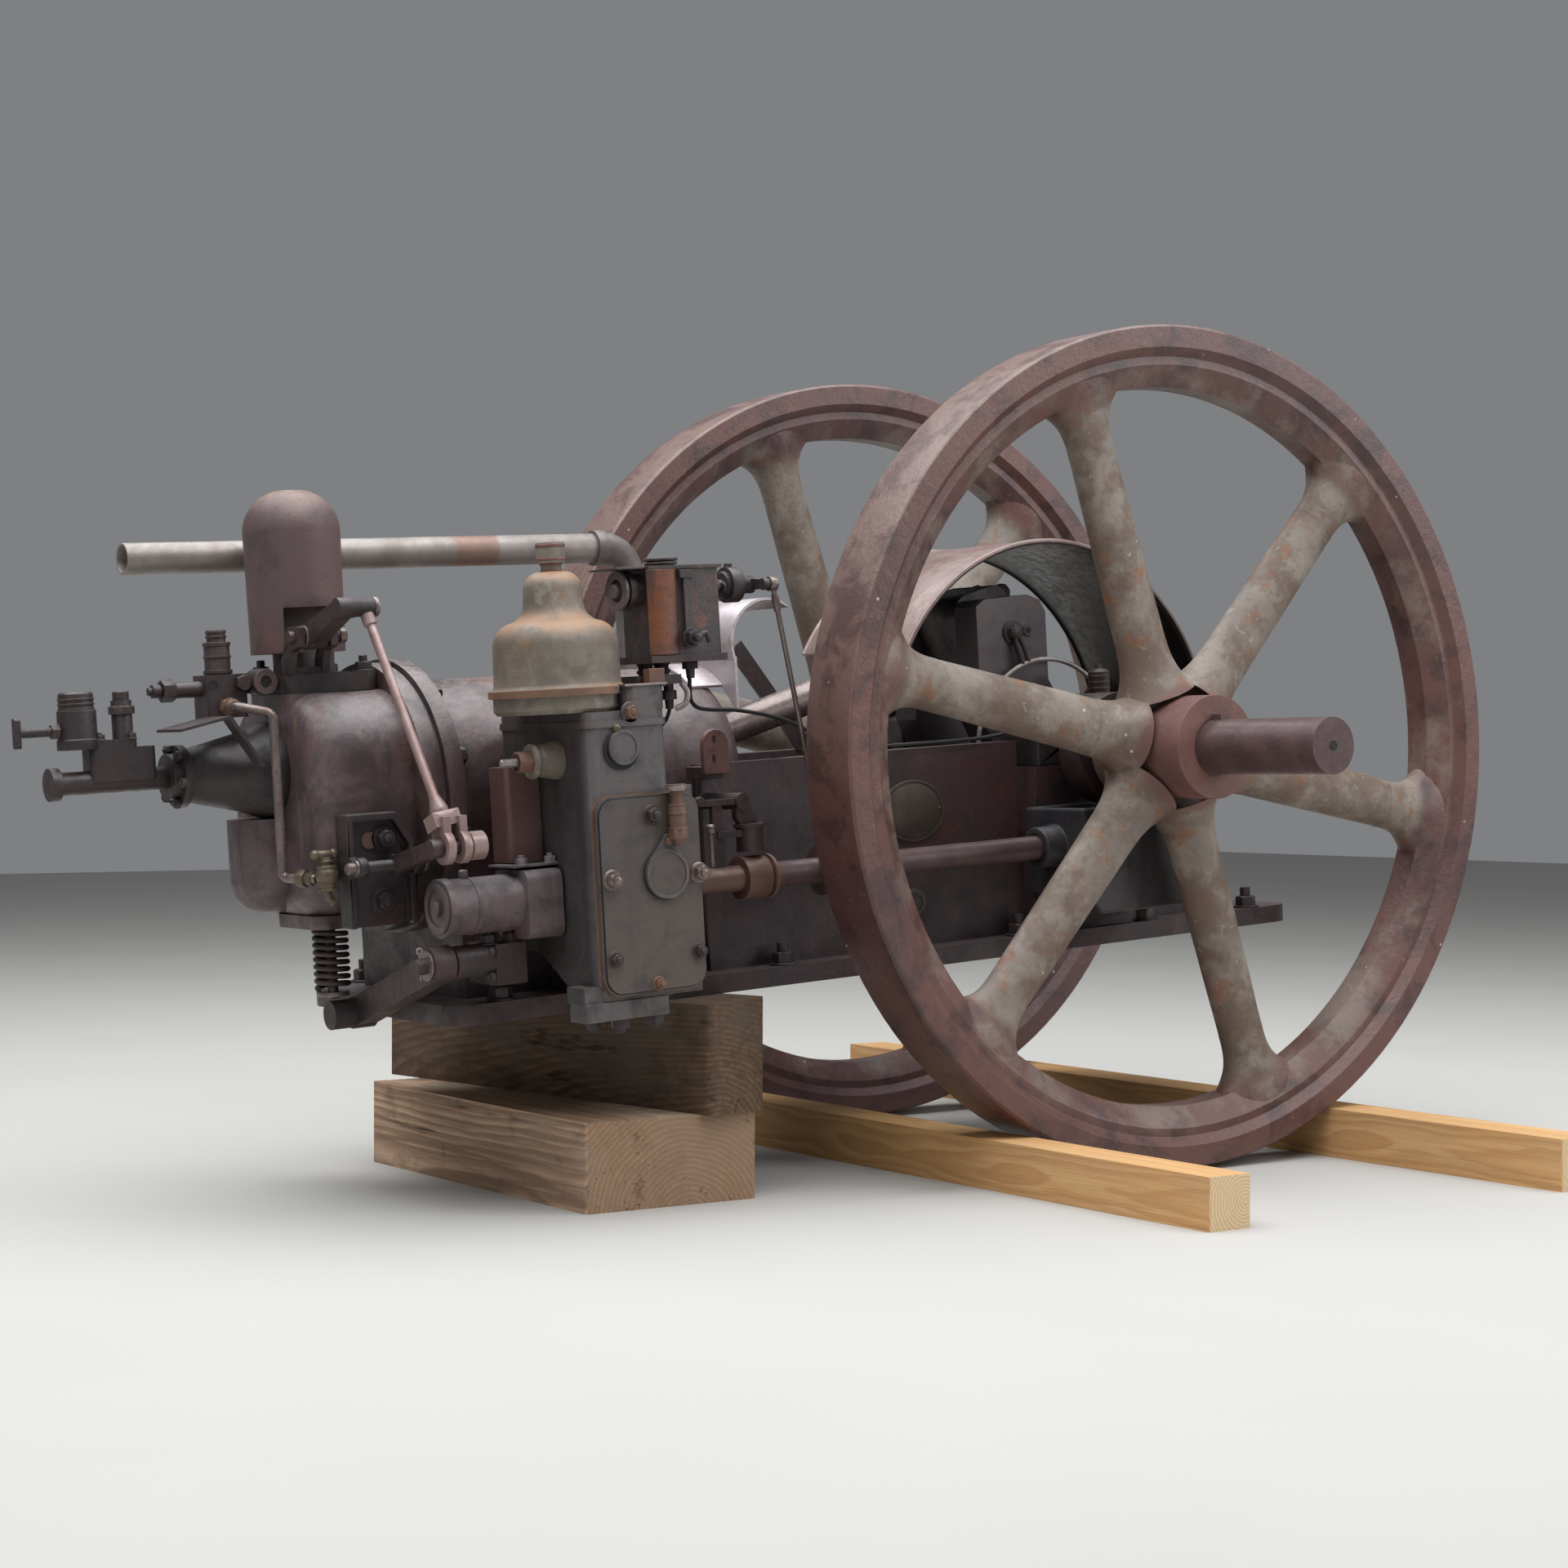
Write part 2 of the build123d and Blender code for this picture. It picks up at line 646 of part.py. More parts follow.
# ---- exhaust valve gear ------------------------------------------------------------
EX_X, EX_Y = -1322.0, -18.0
with BuildPart() as spring:
    with BuildSketch(top(-286, EX_X, EX_Y)) as s:
        Circle(28)
        Circle(9, mode=Mode.SUBTRACT)
    extrude(amount=99.8)
keep("exhaust_valve_spring", spring)

with BuildPart() as ex_stem:
    with BuildSketch(top(-298, EX_X, EX_Y)) as s:
        Circle(8)
    extrude(amount=111.8)
    with BuildSketch(top(-294, EX_X, EX_Y)) as s:
        Circle(24)
    extrude(amount=7)
keep("exhaust_valve_stem", ex_stem)

EXP = (-1285.0, -290.0, -236.0)      # exhaust lever's pivot
with BuildPart() as ex_lever:
    with BuildSketch(front(-1300)) as s:
        with Locations((EXP[1], EXP[2])):
            Circle(27)
        with Locations((-30, -322)):
            Circle(24)
        with BuildLine() as l:
            Polyline([(EXP[1], EXP[2] - 26), (EXP[1], EXP[2] + 20), (-30, -300), (-30, -344), (EXP[1], EXP[2] - 26)])
        make_face()
        with Locations((EXP[1], EXP[2])):
            Circle(12, mode=Mode.SUBTRACT)
    extrude(amount=34)
    with BuildSketch(front(-1336)) as s:
        with Locations((-30, -322)):
            Circle(22)
    extrude(amount=36)
keep("exhaust_lever", ex_lever)

with BuildPart() as ex_pivot:
    with BuildSketch(front(-1306)) as s:
        with Locations((EXP[1], EXP[2])):
            Circle(12 - FIT)
    extrude(amount=152)
    with BuildSketch(front(-1262)) as s:
        with Locations((EXP[1], EXP[2])):
            Circle(24)
    extrude(amount=62)
    with BuildSketch(front(-1200)) as s:
        with Locations((EXP[1] + 20, EXP[2] - 8)):
            Rectangle(84, 60)
    extrude(amount=50)
keep("exhaust_lever_bracket", ex_pivot)

# ---- governor and pump housing -------------------------------------------------------
with BuildPart() as gov:
    with BuildSketch(top(-302)) as s:
        with Locations((-1008, -301)):
            RectangleRounded(184, 258, 18)
    extrude(amount=302)
    with BuildSketch(top(0)) as s:
        with Locations((-1030, -301)):
            RectangleRounded(140, 258, 18)
    extrude(amount=115)
    with BuildSketch(top(115)) as s:
        with Locations((-994, -301)):
            RectangleRounded(68, 258, 14)
    extrude(amount=34)
    # foot
    with BuildSketch(top(-304)) as s:
        with Locations((-1050, -402)):
            Rectangle(146, 50)
    extrude(amount=24)
    with BuildSketch(top(-330)) as s:
        with Locations((-1052, -405)):
            RectangleRounded(146, 54, 12)
    extrude(amount=27)
    # underside rises towards the bed
    with BuildSketch(front(-1140)) as s:
        with BuildLine() as l:
            Polyline([(-378, -305), (-262, -236), (-160, -236), (-160, -305), (-378, -305)])
        make_face()
    extrude(amount=110, mode=Mode.SUBTRACT)
    # side boss with its nut
    with BuildSketch(front(-1135, -342, 48)) as s:
        Circle(21)
    extrude(amount=40)
    with BuildSketch(front(-1166, -342, 48)) as s:
        RegularPolygon(14, 6)
    extrude(amount=31)
    # angle bracket on the cylinder-end face
    with BuildSketch(top(-100)) as s:
        with Locations((-1129, -268)):
            RectangleRounded(60, 56, 8)
    extrude(amount=140)
    # round cover
    with BuildSketch(side(-430, -1040, 62)) as s:
        Circle(26)
    extrude(amount=6)
    # cylinder side is hollowed to the jacket's curve, and the shaft runs through
    with BuildSketch(front(-1300)) as s:
        Circle(JACKET_R + 0.2)
    extrude(amount=800, mode=Mode.SUBTRACT)
    with BuildSketch(top(-340)) as s:
        with Locations((-395, 0)):
            RectangleRounded(1690, 500.4, 40)
    extrude(amount=35.2, mode=Mode.SUBTRACT)
    with BuildSketch(front(-1300, SIDE_Y, SIDE_Z)) as s:
        Circle(SIDE_R + 2)
    extrude(amount=800, mode=Mode.SUBTRACT)
keep("governor_housing", gov)

with BuildPart() as gov_cover:
    with BuildSketch(side(-430, -1009, -152)) as s:
        RectangleRounded(174, 288, 28)
    extrude(amount=10)
    with BuildSketch(side(-440, -1009, -152)) as s:
        RectangleRounded(166, 280, 26)
    extrude(amount=3)
    with BuildSketch(side(-443, -985, -125)) as s:
        Circle(37)
    extrude(amount=6)
keep("governor_cover", gov_cover)

with BuildPart() as oil_cup:
    with BuildSketch(top(-62, -968, -456)) as s:
        Circle(12.5)
    extrude(amount=34)
    with BuildSketch(top(-28, -968, -456)) as s:
        Circle(9)
    extrude(amount=24)
    with BuildSketch(top(-4, -968, -456)) as s:
        Circle(15)
    extrude(amount=8)
keep("oil_cup", oil_cup)

GX, GY = -1083.0, -330.0
with BuildPart() as bell:
    with BuildSketch(side(GY, GX)) as s:
        with BuildLine() as l:
            Polyline([(0, 115.2), (90, 115.2), (95, 121), (95, 139), (101, 141), (101, 150), (96, 153), (93, 158), (92, 212)])
            ThreePointArc((92, 212), (86, 234), (68, 248))
            ThreePointArc((68, 248), (50, 259), (44, 276))
            Polyline([(44, 276), (43, 300)])
            ThreePointArc((43, 300), (34, 316), (18, 322))
            Polyline([(18, 322), (0, 322), (0, 115.2)])
        make_face()
    revolve(axis=Axis(eng(GX, GY, 0), AZ), revolution_arc=360)
    # flat against the taller right-hand shoulder
    with BuildSketch(top(114)) as s:
        with Locations((-980, -301)):
            Rectangle(96.4, 262)
    extrude(amount=35.4, mode=Mode.SUBTRACT)
    with BuildSketch(top(322, GX, GY)) as s:
        Circle(15)
    extrude(amount=12)
    with BuildSketch(top(334, GX, GY)) as s:
        Circle(21)
    extrude(amount=30)
keep("governor_bell", bell)


# ---- lubricator --------------------------------------------------------------------------
with BuildPart() as lub_bracket:
    with BuildSketch(top(149.2)) as s:
        with Locations((-934, -330)):
            RectangleRounded(80, 90, 6)
    extrude(amount=14)
    for x in (-934, -906):
        with BuildSketch(top(163.2)) as s:
            with Locations((x, -335)):
                Circle(11)
        extrude(amount=28)
keep("lubricator_bracket", lub_bracket)

with BuildPart() as lub:
    with BuildSketch(top(191.2)) as s:
        with Locations((-886, -339)):
            RectangleRounded(120, 84, 4)
    extrude(amount=128)
    with BuildSketch(front(-975, -339, 290)) as s:
        Circle(24)
    extrude(amount=34)
keep("lubricator_box", lub)

with BuildPart() as lid:
    with BuildSketch(top(319.4)) as s:
        with Locations((-886, -339)):
            Rectangle(128, 92)
    extrude(amount=5)
    with BuildSketch(top(324.4)) as s:
        with Locations((-900, -339)):
            Circle(20)
    extrude(amount=12)
keep("lubricator_lid", lid)

LUB_Z, LUB_Y = 294.0, -339.0
with BuildPart() as ratchet:
    with BuildSketch(front(-825.8, LUB_Y, LUB_Z)) as s:
        Circle(8)
    extrude(amount=92)
keep("lubricator_shaft", ratchet)

LL = (-740.0, LUB_Y - 42.0, LUB_Z - 2.0)
with BuildPart() as lub_lever:
    with BuildSketch(front(-748)) as s:
        with Locations((LUB_Y, LUB_Z)):
            Circle(14)
        with Locations((LL[1], LL[2])):
            Circle(9)
        with BuildLine() as l:
            Polyline([(LUB_Y, LUB_Z - 9), (LUB_Y, LUB_Z + 9), (LL[1], LL[2] + 7), (LL[1], LL[2] - 7), (LUB_Y, LUB_Z - 9)])
        make_face()
        with Locations((LUB_Y, LUB_Z)):
            Circle(8 + FIT, mode=Mode.SUBTRACT)
    extrude(amount=9)
    # its ratchet housing and hub
    for x, r, w in ((-788, 27, 21), (-767, 14, 19)):
        with BuildSketch(front(x, LUB_Y, LUB_Z)) as s:
            Circle(r)
            Circle(8 + FIT, mode=Mode.SUBTRACT)
        extrude(amount=w)
    with BuildSketch(front(-739)) as s:
        with Locations((LL[1], LL[2])):
            Circle(5)
    extrude(amount=18)
keep("lubricator_lever", lub_lever)

lt = Vector(*eng(-729, LL[1], LL[2]))
lb = Vector(*eng(-640, -357, -120))
lv = (lt - lb).normalized()
with BuildPart() as lub_rod:
    with BuildSketch(Plane(origin=lb, x_dir=(1, 0, 0), z_dir=lv)) as s:
        Circle(4)
    extrude(amount=(lt - lb).length - 9)
    with BuildSketch(front(-736, LL[1], LL[2])) as s:
        Circle(11)
        Circle(6, mode=Mode.SUBTRACT)
    extrude(amount=12)
keep("lubricator_rod", lub_rod)

# ---- plate and trip gear on the bed's near side --------------------------------------------
with BuildPart() as slotted_plate:
    with BuildSketch(side(-252)) as s:
        with Locations((-769, 40)):
            RectangleRounded(46, 70, 6)
    extrude(amount=10)
    with BuildSketch(side(-200.2)) as s:
        with Locations((-769, 8)):
            Rectangle(40, 22)
    extrude(amount=52.6)
keep("slotted_plate", slotted_plate)

with BuildPart() as trip_gear:
    with BuildSketch(side(-200.2)) as s:
        with Locations((-757, -37)):
            Circle(13)
    extrude(amount=112)
    with BuildSketch(side(-294)) as s:
        with BuildLine() as l:
            Polyline([(-768, -34), (-746, -34), (-730, -62), (-730, -90), (-752, -90), (-768, -60), (-768, -34)])
        make_face()
    extrude(amount=14)
    with BuildSketch(top(-115, -741, -300)) as s:
        Circle(21)
    extrude(amount=37)
    with BuildSketch(top(-78, -741, -300)) as s:
        Circle(24)
    extrude(amount=6)
keep("trip_gear", trip_gear)

# ---- cooling-water outlet pipe --------------------------------------------------------------
PY, PZ, PR = 118.0, 378.0, 24.2
with BuildPart() as top_pipe:
    with BuildSketch(front(-1560, PY, PZ)) as s:
        Circle(PR)
        Circle(PR - 4, mode=Mode.SUBTRACT)
    extrude(amount=815)
keep("water_pipe", top_pipe)

with BuildPart() as elbow:
    with BuildSketch(front(-745, PY, PZ)) as s:
        Circle(PR + 5)
    extrude(amount=20)
    with BuildSketch(front(-725, PY, PZ)) as s:
        Circle(PR + 1)
    revolve(axis=Axis(eng(-725, PY, PZ - 48), Vector(0, 1, 0)), revolution_arc=90)
    with BuildSketch(top(PZ - 48, -677, PY)) as s:
        Circle(PR + 1)
    extrude(amount=-(PZ - 48 - 150))
    with BuildSketch(top(150, -677, PY)) as s:
        Circle(PR + 14)
    extrude(amount=-60)
    with BuildSketch(front(-740)) as s:
        Circle(JACKET_R + 0.1)
    extrude(amount=130, mode=Mode.SUBTRACT)
keep("water_elbow", elbow)

# ---- fuel pipe and drain cock -----------------------------------------------------------------
fuel_pts = [(-1470, -28.5, 150), (-1470, -62, 150), (-1430, -100, 138), (-1430, -100, -104), (-1402.5, -155, -106)]
with BuildPart() as fuel_pipe:
    with BuildLine() as path:
        FilletPolyline(*[eng(*q) for q in fuel_pts], radius=[14, 14, 10])
    with BuildSketch(Plane(origin=path.line @ 0, z_dir=path.line % 0)) as s:
        Circle(7)
    sweep()
keep("fuel_pipe", fuel_pipe)

with BuildPart() as cock:
    with BuildSketch(top(-124, -1394, -172)) as s:
        Circle(13)
    extrude(amount=38)
    with BuildSketch(top(-88, -1394, -172)) as s:
        Circle(8)
    extrude(amount=14)
    with BuildSketch(front(-1407, -172, -70)) as s:
        Circle(6)
    extrude(amount=25)
    with BuildSketch(side(-172, -1388, -106)) as s:
        Circle(8)
    extrude(amount=-26)
keep("drain_cock", cock)

# ---- timbers the engine stands on --------------------------------------------------------------
def plank(name, x0, x1, y0, y1, z0, z1, skew=0.0, r=3.0):
    with BuildPart() as p:
        with BuildSketch(Plane(origin=(X0 + (x0 + x1) / 2, Y0 + (y0 + y1) / 2, z0),
                               x_dir=(cos(radians(skew)), sin(radians(skew)), 0), z_dir=(0, 0, 1))) as s:
            RectangleRounded(x1 - x0, y1 - y0, r)
        extrude(amount=z1 - z0)
    keep(name, p)
    return p


plank("sleeper_lower", -1050, -750, -345, 355, 0, 134, 0.0, 6)
with BuildPart() as upper:
    with BuildSketch(Plane(origin=(X0 - 855, Y0 + 48, 134), x_dir=(cos(radians(8.9)), sin(radians(8.9)), 0), z_dir=(0, 0, 1))) as s:
        RectangleRounded(116, 822, 14)
    extrude(amount=200)
    # crushed to the slope of the bed's underside
    with BuildSketch(top(BED_BOTTOM - 0.05)) as s:
        with Locations((-855, 0)):
            Rectangle(900, 1400)
    extrude(amount=200, mode=Mode.SUBTRACT)
keep("sleeper_upper", upper)
plank("chock_front", -402, -322, -975, 900, 0, 78)
plank("chock_rear", 322, 412, -990, 900, 0, 82)

# ---- write --------------------------------------------------------------------------------------
os.makedirs("parts", exist_ok=True)
lo = [1e9] * 3
hi = [-1e9] * 3
for name, part in pieces:
    export_step(part, "parts/" + name + ".step")
    bb = part.bounding_box()
    for i, (a, b) in enumerate(((bb.min.X, bb.max.X), (bb.min.Y, bb.max.Y), (bb.min.Z, bb.max.Z))):
        lo[i] = min(lo[i], a)
        hi[i] = max(hi[i], b)
print("box", [round(v, 2) for v in lo], [round(v, 2) for v in hi], "centre",
      round((lo[0] + hi[0]) / 2, 2), round((lo[1] + hi[1]) / 2, 2))
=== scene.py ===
import bpy
import bmesh
import math
import random
from mathutils import Vector, Matrix, noise


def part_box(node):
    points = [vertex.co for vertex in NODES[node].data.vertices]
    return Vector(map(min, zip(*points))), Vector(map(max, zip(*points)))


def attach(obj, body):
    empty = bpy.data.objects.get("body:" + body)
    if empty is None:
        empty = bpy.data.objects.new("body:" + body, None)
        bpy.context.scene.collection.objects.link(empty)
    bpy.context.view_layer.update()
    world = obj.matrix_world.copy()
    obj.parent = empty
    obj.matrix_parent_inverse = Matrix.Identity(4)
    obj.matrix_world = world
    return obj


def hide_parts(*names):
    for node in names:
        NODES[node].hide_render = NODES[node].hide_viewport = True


# Looks of the stationary oil engine. Metres. The engine leans 3.8 degrees
# down to its cylinder end; E() takes a point in the engine's own
# millimetres (x from the crank axis, y from the mid-plane, z from the
# crank axis) to the shared frame.

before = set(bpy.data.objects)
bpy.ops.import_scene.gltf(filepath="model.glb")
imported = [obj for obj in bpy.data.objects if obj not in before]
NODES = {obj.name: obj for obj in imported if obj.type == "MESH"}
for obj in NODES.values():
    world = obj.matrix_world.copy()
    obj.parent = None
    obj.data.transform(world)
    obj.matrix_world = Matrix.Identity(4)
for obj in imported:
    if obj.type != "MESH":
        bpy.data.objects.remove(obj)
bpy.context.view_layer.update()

X0, Y0, AZ = 551.88, 45.0, 692.0
A = math.radians(3.8)
CA, SA = math.cos(A), math.sin(A)
WHEEL_R = 0.686
CRANK = Vector((X0, Y0, AZ)) / 1000


def T(v):
    return Vector((v[0] * CA - v[2] * SA, v[1], v[0] * SA + v[2] * CA))


def E(x, y, z):
    return (Vector((X0, Y0, AZ)) + T((x, y, z))) / 1000


XE, YE, ZE = T((1, 0, 0)), Vector((0, 1, 0)), T((0, 0, 1))


# ---- materials ---------------------------------------------------------------
class Nodes:
    """Small helper around one material's node tree."""

    def __init__(self, name):
        self.mat = bpy.data.materials.new(name)
        self.mat.use_nodes = True
        self.t = self.mat.node_tree
        self.t.nodes.clear()
        self.out = self.t.nodes.new("ShaderNodeOutputMaterial")
        self.bsdf = self.t.nodes.new("ShaderNodeBsdfPrincipled")
        self.t.links.new(self.bsdf.outputs[0], self.out.inputs[0])
        tc = self.t.nodes.new("ShaderNodeTexCoord")
        self.co = tc.outputs["Object"]
        self._z = None

    def link(self, a, b):
        self.t.links.new(a, b)

    def val(self, socket, v):
        if isinstance(v, (int, float)):
            socket.default_value = v
        elif isinstance(v, (tuple, list)):
            socket.default_value = (*v, 1.0) if len(v) == 3 and len(socket.default_value) == 4 else v
        else:
            self.link(v, socket)

    def noise(self, scale, detail=4.0, rough=0.6, stretch=None, offset=(0, 0, 0), dist=0.0, co=None):
        n = self.t.nodes.new("ShaderNodeTexNoise")
        n.inputs["Scale"].default_value = scale
        n.inputs["Detail"].default_value = detail
        n.inputs["Roughness"].default_value = rough
        n.inputs["Distortion"].default_value = dist
        m = self.t.nodes.new("ShaderNodeMapping")
        m.inputs["Location"].default_value = offset
        m.inputs["Scale"].default_value = stretch or (1, 1, 1)
        self.link(co or self.co, m.inputs["Vector"])
        self.link(m.outputs[0], n.inputs["Vector"])
        return n.outputs[0]

    def voronoi(self, scale, stretch=None, feature="F1", co=None):
        n = self.t.nodes.new("ShaderNodeTexVoronoi")
        n.feature = feature
        n.inputs["Scale"].default_value = scale
        m = self.t.nodes.new("ShaderNodeMapping")
        m.inputs["Scale"].default_value = stretch or (1, 1, 1)
        self.link(co or self.co, m.inputs["Vector"])
        self.link(m.outputs[0], n.inputs["Vector"])
        return n.outputs["Distance"]

    def ramp(self, fac, lo, hi, a=0.0, b=1.0):
        n = self.t.nodes.new("ShaderNodeMapRange")
        n.interpolation_type = "SMOOTHSTEP"
        n.inputs["From Min"].default_value = lo
        n.inputs["From Max"].default_value = hi
        n.inputs["To Min"].default_value = a
        n.inputs["To Max"].default_value = b
        self.link(fac, n.inputs["Value"])
        return n.outputs[0]

    def mix(self, fac, a, b):
        n = self.t.nodes.new("ShaderNodeMix")
        n.data_type = "RGBA"
        self.val(n.inputs[0], fac)
        self.val(n.inputs[6], a)
        self.val(n.inputs[7], b)
        return n.outputs[2]

    def math(self, op, a, b=0.0, clamp=False):
        n = self.t.nodes.new("ShaderNodeMath")
        n.operation = op
        n.use_clamp = clamp
        self.val(n.inputs[0], a)
        self.val(n.inputs[1], b)
        return n.outputs[0]

    def xyz(self, co=None):
        n = self.t.nodes.new("ShaderNodeSeparateXYZ")
        self.link(co or self.co, n.inputs[0])
        return n.outputs

    def up(self):
        """Upward part of the surface's own normal."""
        if self._z is None:
            g = self.t.nodes.new("ShaderNodeNewGeometry")
            s = self.t.nodes.new("ShaderNodeSeparateXYZ")
            self.link(g.outputs["Normal"], s.inputs[0])
            self._z = s.outputs[2]
        return self._z

    def bump(self, height, strength, distance):
        n = self.t.nodes.new("ShaderNodeBump")
        n.inputs["Strength"].default_value = strength
        n.inputs["Distance"].default_value = distance
        self.link(height, n.inputs["Height"])
        self.link(n.outputs[0], self.bsdf.inputs["Normal"])

    def set(self, color=None, rough=None, metal=None, spec=None):
        if color is not None:
            self.val(self.bsdf.inputs["Base Color"], color)
        if rough is not None:
            self.val(self.bsdf.inputs["Roughness"], rough)
        if metal is not None:
            self.val(self.bsdf.inputs["Metallic"], metal)
        if spec is not None:
            self.val(self.bsdf.inputs["Specular IOR Level"], spec)
        return self.mat


def iron(name, base, warm, dark, rust, rust_amount=0.35, rough=(0.36, 0.62), streak=0.5, dust=0.25, dust_color=(0.20, 0.16, 0.14), grain=1.0, seed=0.0, specks=0.0, patch=None):
    """Old oily cast iron: blotches, rust blooms, run-down streaks, casting grain."""
    n = Nodes(name)
    off = (seed, seed * 1.7, seed * 0.6)
    big = n.noise(3.1, 3, 0.55, offset=off)
    mid = n.noise(17.0, 5, 0.62, offset=off, dist=0.4)
    fine = n.noise(95.0, 5, 0.7, offset=off)
    grit = n.noise(420.0, 3, 0.7, offset=off)
    run = n.noise(13.0, 4, 0.6, stretch=(2.6, 2.6, 0.22), offset=off)
    c = n.mix(n.ramp(big, 0.36, 0.64), base, warm)
    c = n.mix(n.ramp(mid, 0.48, 0.68, 0.0, 0.75), c, dark)
    r = n.math("MULTIPLY", n.ramp(mid, 0.30, 0.46, 1.0, 0.0), n.ramp(fine, 0.38, 0.60))
    c = n.mix(n.math("MULTIPLY", r, rust_amount, True), c, rust)
    c = n.mix(n.math("MULTIPLY", n.ramp(run, 0.50, 0.66), streak, True), c, dark)
    top = n.math("MULTIPLY", n.ramp(n.up(), 0.35, 0.95), n.ramp(fine, 0.36, 0.62, 0.3, 1.0))
    c = n.mix(n.math("MULTIPLY", top, dust, True), c, dust_color)
    if specks:
        s = n.ramp(n.voronoi(31.0), 0.03, 0.07, 1.0, 0.0)
        s = n.math("MULTIPLY", s, n.ramp(n.noise(5.0, 2, 0.5, offset=(9, 3, 1)), 0.55, 0.66))
        c = n.mix(n.math("MULTIPLY", s, specks, True), c, (0.55, 0.53, 0.48))
    if patch:
        c = patch(n, c, mid)
    ro = n.ramp(n.math("ADD", n.math("MULTIPLY", mid, 0.6), n.math("MULTIPLY", fine, 0.4)), 0.34, 0.62, rough[0], rough[1])
    h = n.math("ADD", n.math("MULTIPLY", fine, 0.9), n.math("MULTIPLY", grit, 0.42))
    h = n.math("ADD", h, n.math("MULTIPLY", mid, 1.2))
    n.bump(h, 0.55 * grain, 0.0016)
    return n.set(c, ro, 0.0, 0.55)


def wheel_material():
    """Flywheels: red-brown rim and hub collar, lichen-grey spokes with rust blooms."""
    n = Nodes("wheel")
    x, y, z = n.xyz()
    dx = n.math("SUBTRACT", x, CRANK.x)
    dz = n.math("SUBTRACT", z, CRANK.z)
    rad = n.math("SQRT", n.math("ADD", n.math("MULTIPLY", dx, dx), n.math("MULTIPLY", dz, dz)))
    big = n.noise(2.7, 3, 0.55)
    mid = n.noise(14.0, 5, 0.62, dist=0.5)
    fine = n.noise(80.0, 5, 0.72)
    grit = n.noise(380.0, 3, 0.7)
    wob = n.math("MULTIPLY", n.math("SUBTRACT", mid, 0.5), 0.035)
    rr = n.math("ADD", rad, wob)
    # rim
    rim = n.mix(n.ramp(big, 0.38, 0.62), (0.098, 0.043, 0.040), (0.128, 0.056, 0.046))
    rim = n.mix(n.ramp(mid, 0.46, 0.64, 0.0, 0.75), rim, (0.046, 0.025, 0.027))
    # lighter fine-noise flecks on the rim: painted highlights standing in for its sheen
    rim = n.mix(n.ramp(fine, 0.56, 0.70, 0.0, 0.5), rim, (0.19, 0.105, 0.075))
    # spokes
    sp = n.mix(n.ramp(mid, 0.38, 0.62), (0.180, 0.150, 0.126), (0.245, 0.205, 0.172))
    sp = n.mix(n.ramp(n.noise(7.0, 5, 0.70, offset=(4, 1, 2)), 0.42, 0.58, 0.0, 0.85), sp, (0.118, 0.075, 0.052))
    sp = n.mix(n.ramp(n.noise(19.0, 5, 0.7, offset=(1, 7, 2)), 0.56, 0.66, 0.0, 0.75), sp, (0.225, 0.090, 0.038))
    sp = n.mix(n.ramp(n.noise(46.0, 4, 0.7, offset=(3, 3, 8)), 0.62, 0.70, 0.0, 0.6), sp, (0.30, 0.29, 0.25))
    sp = n.mix(n.ramp(fine, 0.55, 0.72, 0.0, 0.45), sp, (0.075, 0.060, 0.048))
    hub = n.mix(n.ramp(mid, 0.38, 0.62), (0.130, 0.060, 0.054), (0.175, 0.078, 0.064))
    c = n.mix(n.ramp(rr, 0.556, 0.588), sp, rim)
    yy = n.math("ABSOLUTE", n.math("SUBTRACT", y, CRANK.y))
    tread = n.math("MULTIPLY", n.ramp(rad, 0.680, 0.684), n.ramp(n.up(), -0.3, 0.5, 0.0, 0.75))
    c = n.mix(tread, c, n.mix(n.ramp(mid, 0.44, 0.62), (0.175, 0.115, 0.100), (0.095, 0.050, 0.045)))
    collar = n.math("MULTIPLY", n.ramp(rr, 0.094, 0.110, 1.0, 0.0), n.ramp(yy, 0.470, 0.487))
    c = n.mix(collar, c, hub)
    # mould and light powder on the inner ring of the rim
    pw = n.math("MULTIPLY", n.ramp(rr, 0.572, 0.592), n.ramp(rr, 0.606, 0.640, 1.0, 0.0))
    pw = n.math("MULTIPLY", pw, n.ramp(n.noise(9.0, 5, 0.7, offset=(2, 2, 5)), 0.44, 0.66, 0.0, 0.7))
    c = n.mix(pw, c, (0.21, 0.165, 0.135))
    s = n.math("MULTIPLY", n.ramp(n.voronoi(26.0), 0.04, 0.085, 1.0, 0.0), n.ramp(n.noise(4.0, 2, 0.5, offset=(9, 3, 1)), 0.54, 0.62))
    c = n.mix(n.math("MULTIPLY", s, 0.75), c, (0.62, 0.61, 0.56))
    ro = n.ramp(rr, 0.55, 0.60, 0.60, 0.36)
    ro = n.math("ADD", ro, n.math("MULTIPLY", n.math("SUBTRACT", fine, 0.5), 0.35))
    h = n.math("ADD", n.math("MULTIPLY", fine, 1.0), n.math("MULTIPLY", grit, 0.4))
    h = n.math("ADD", h, n.math("MULTIPLY", mid, 1.6))
    n.bump(h, 0.6, 0.0018)
    return n.set(c, ro, 0.0, 0.5)


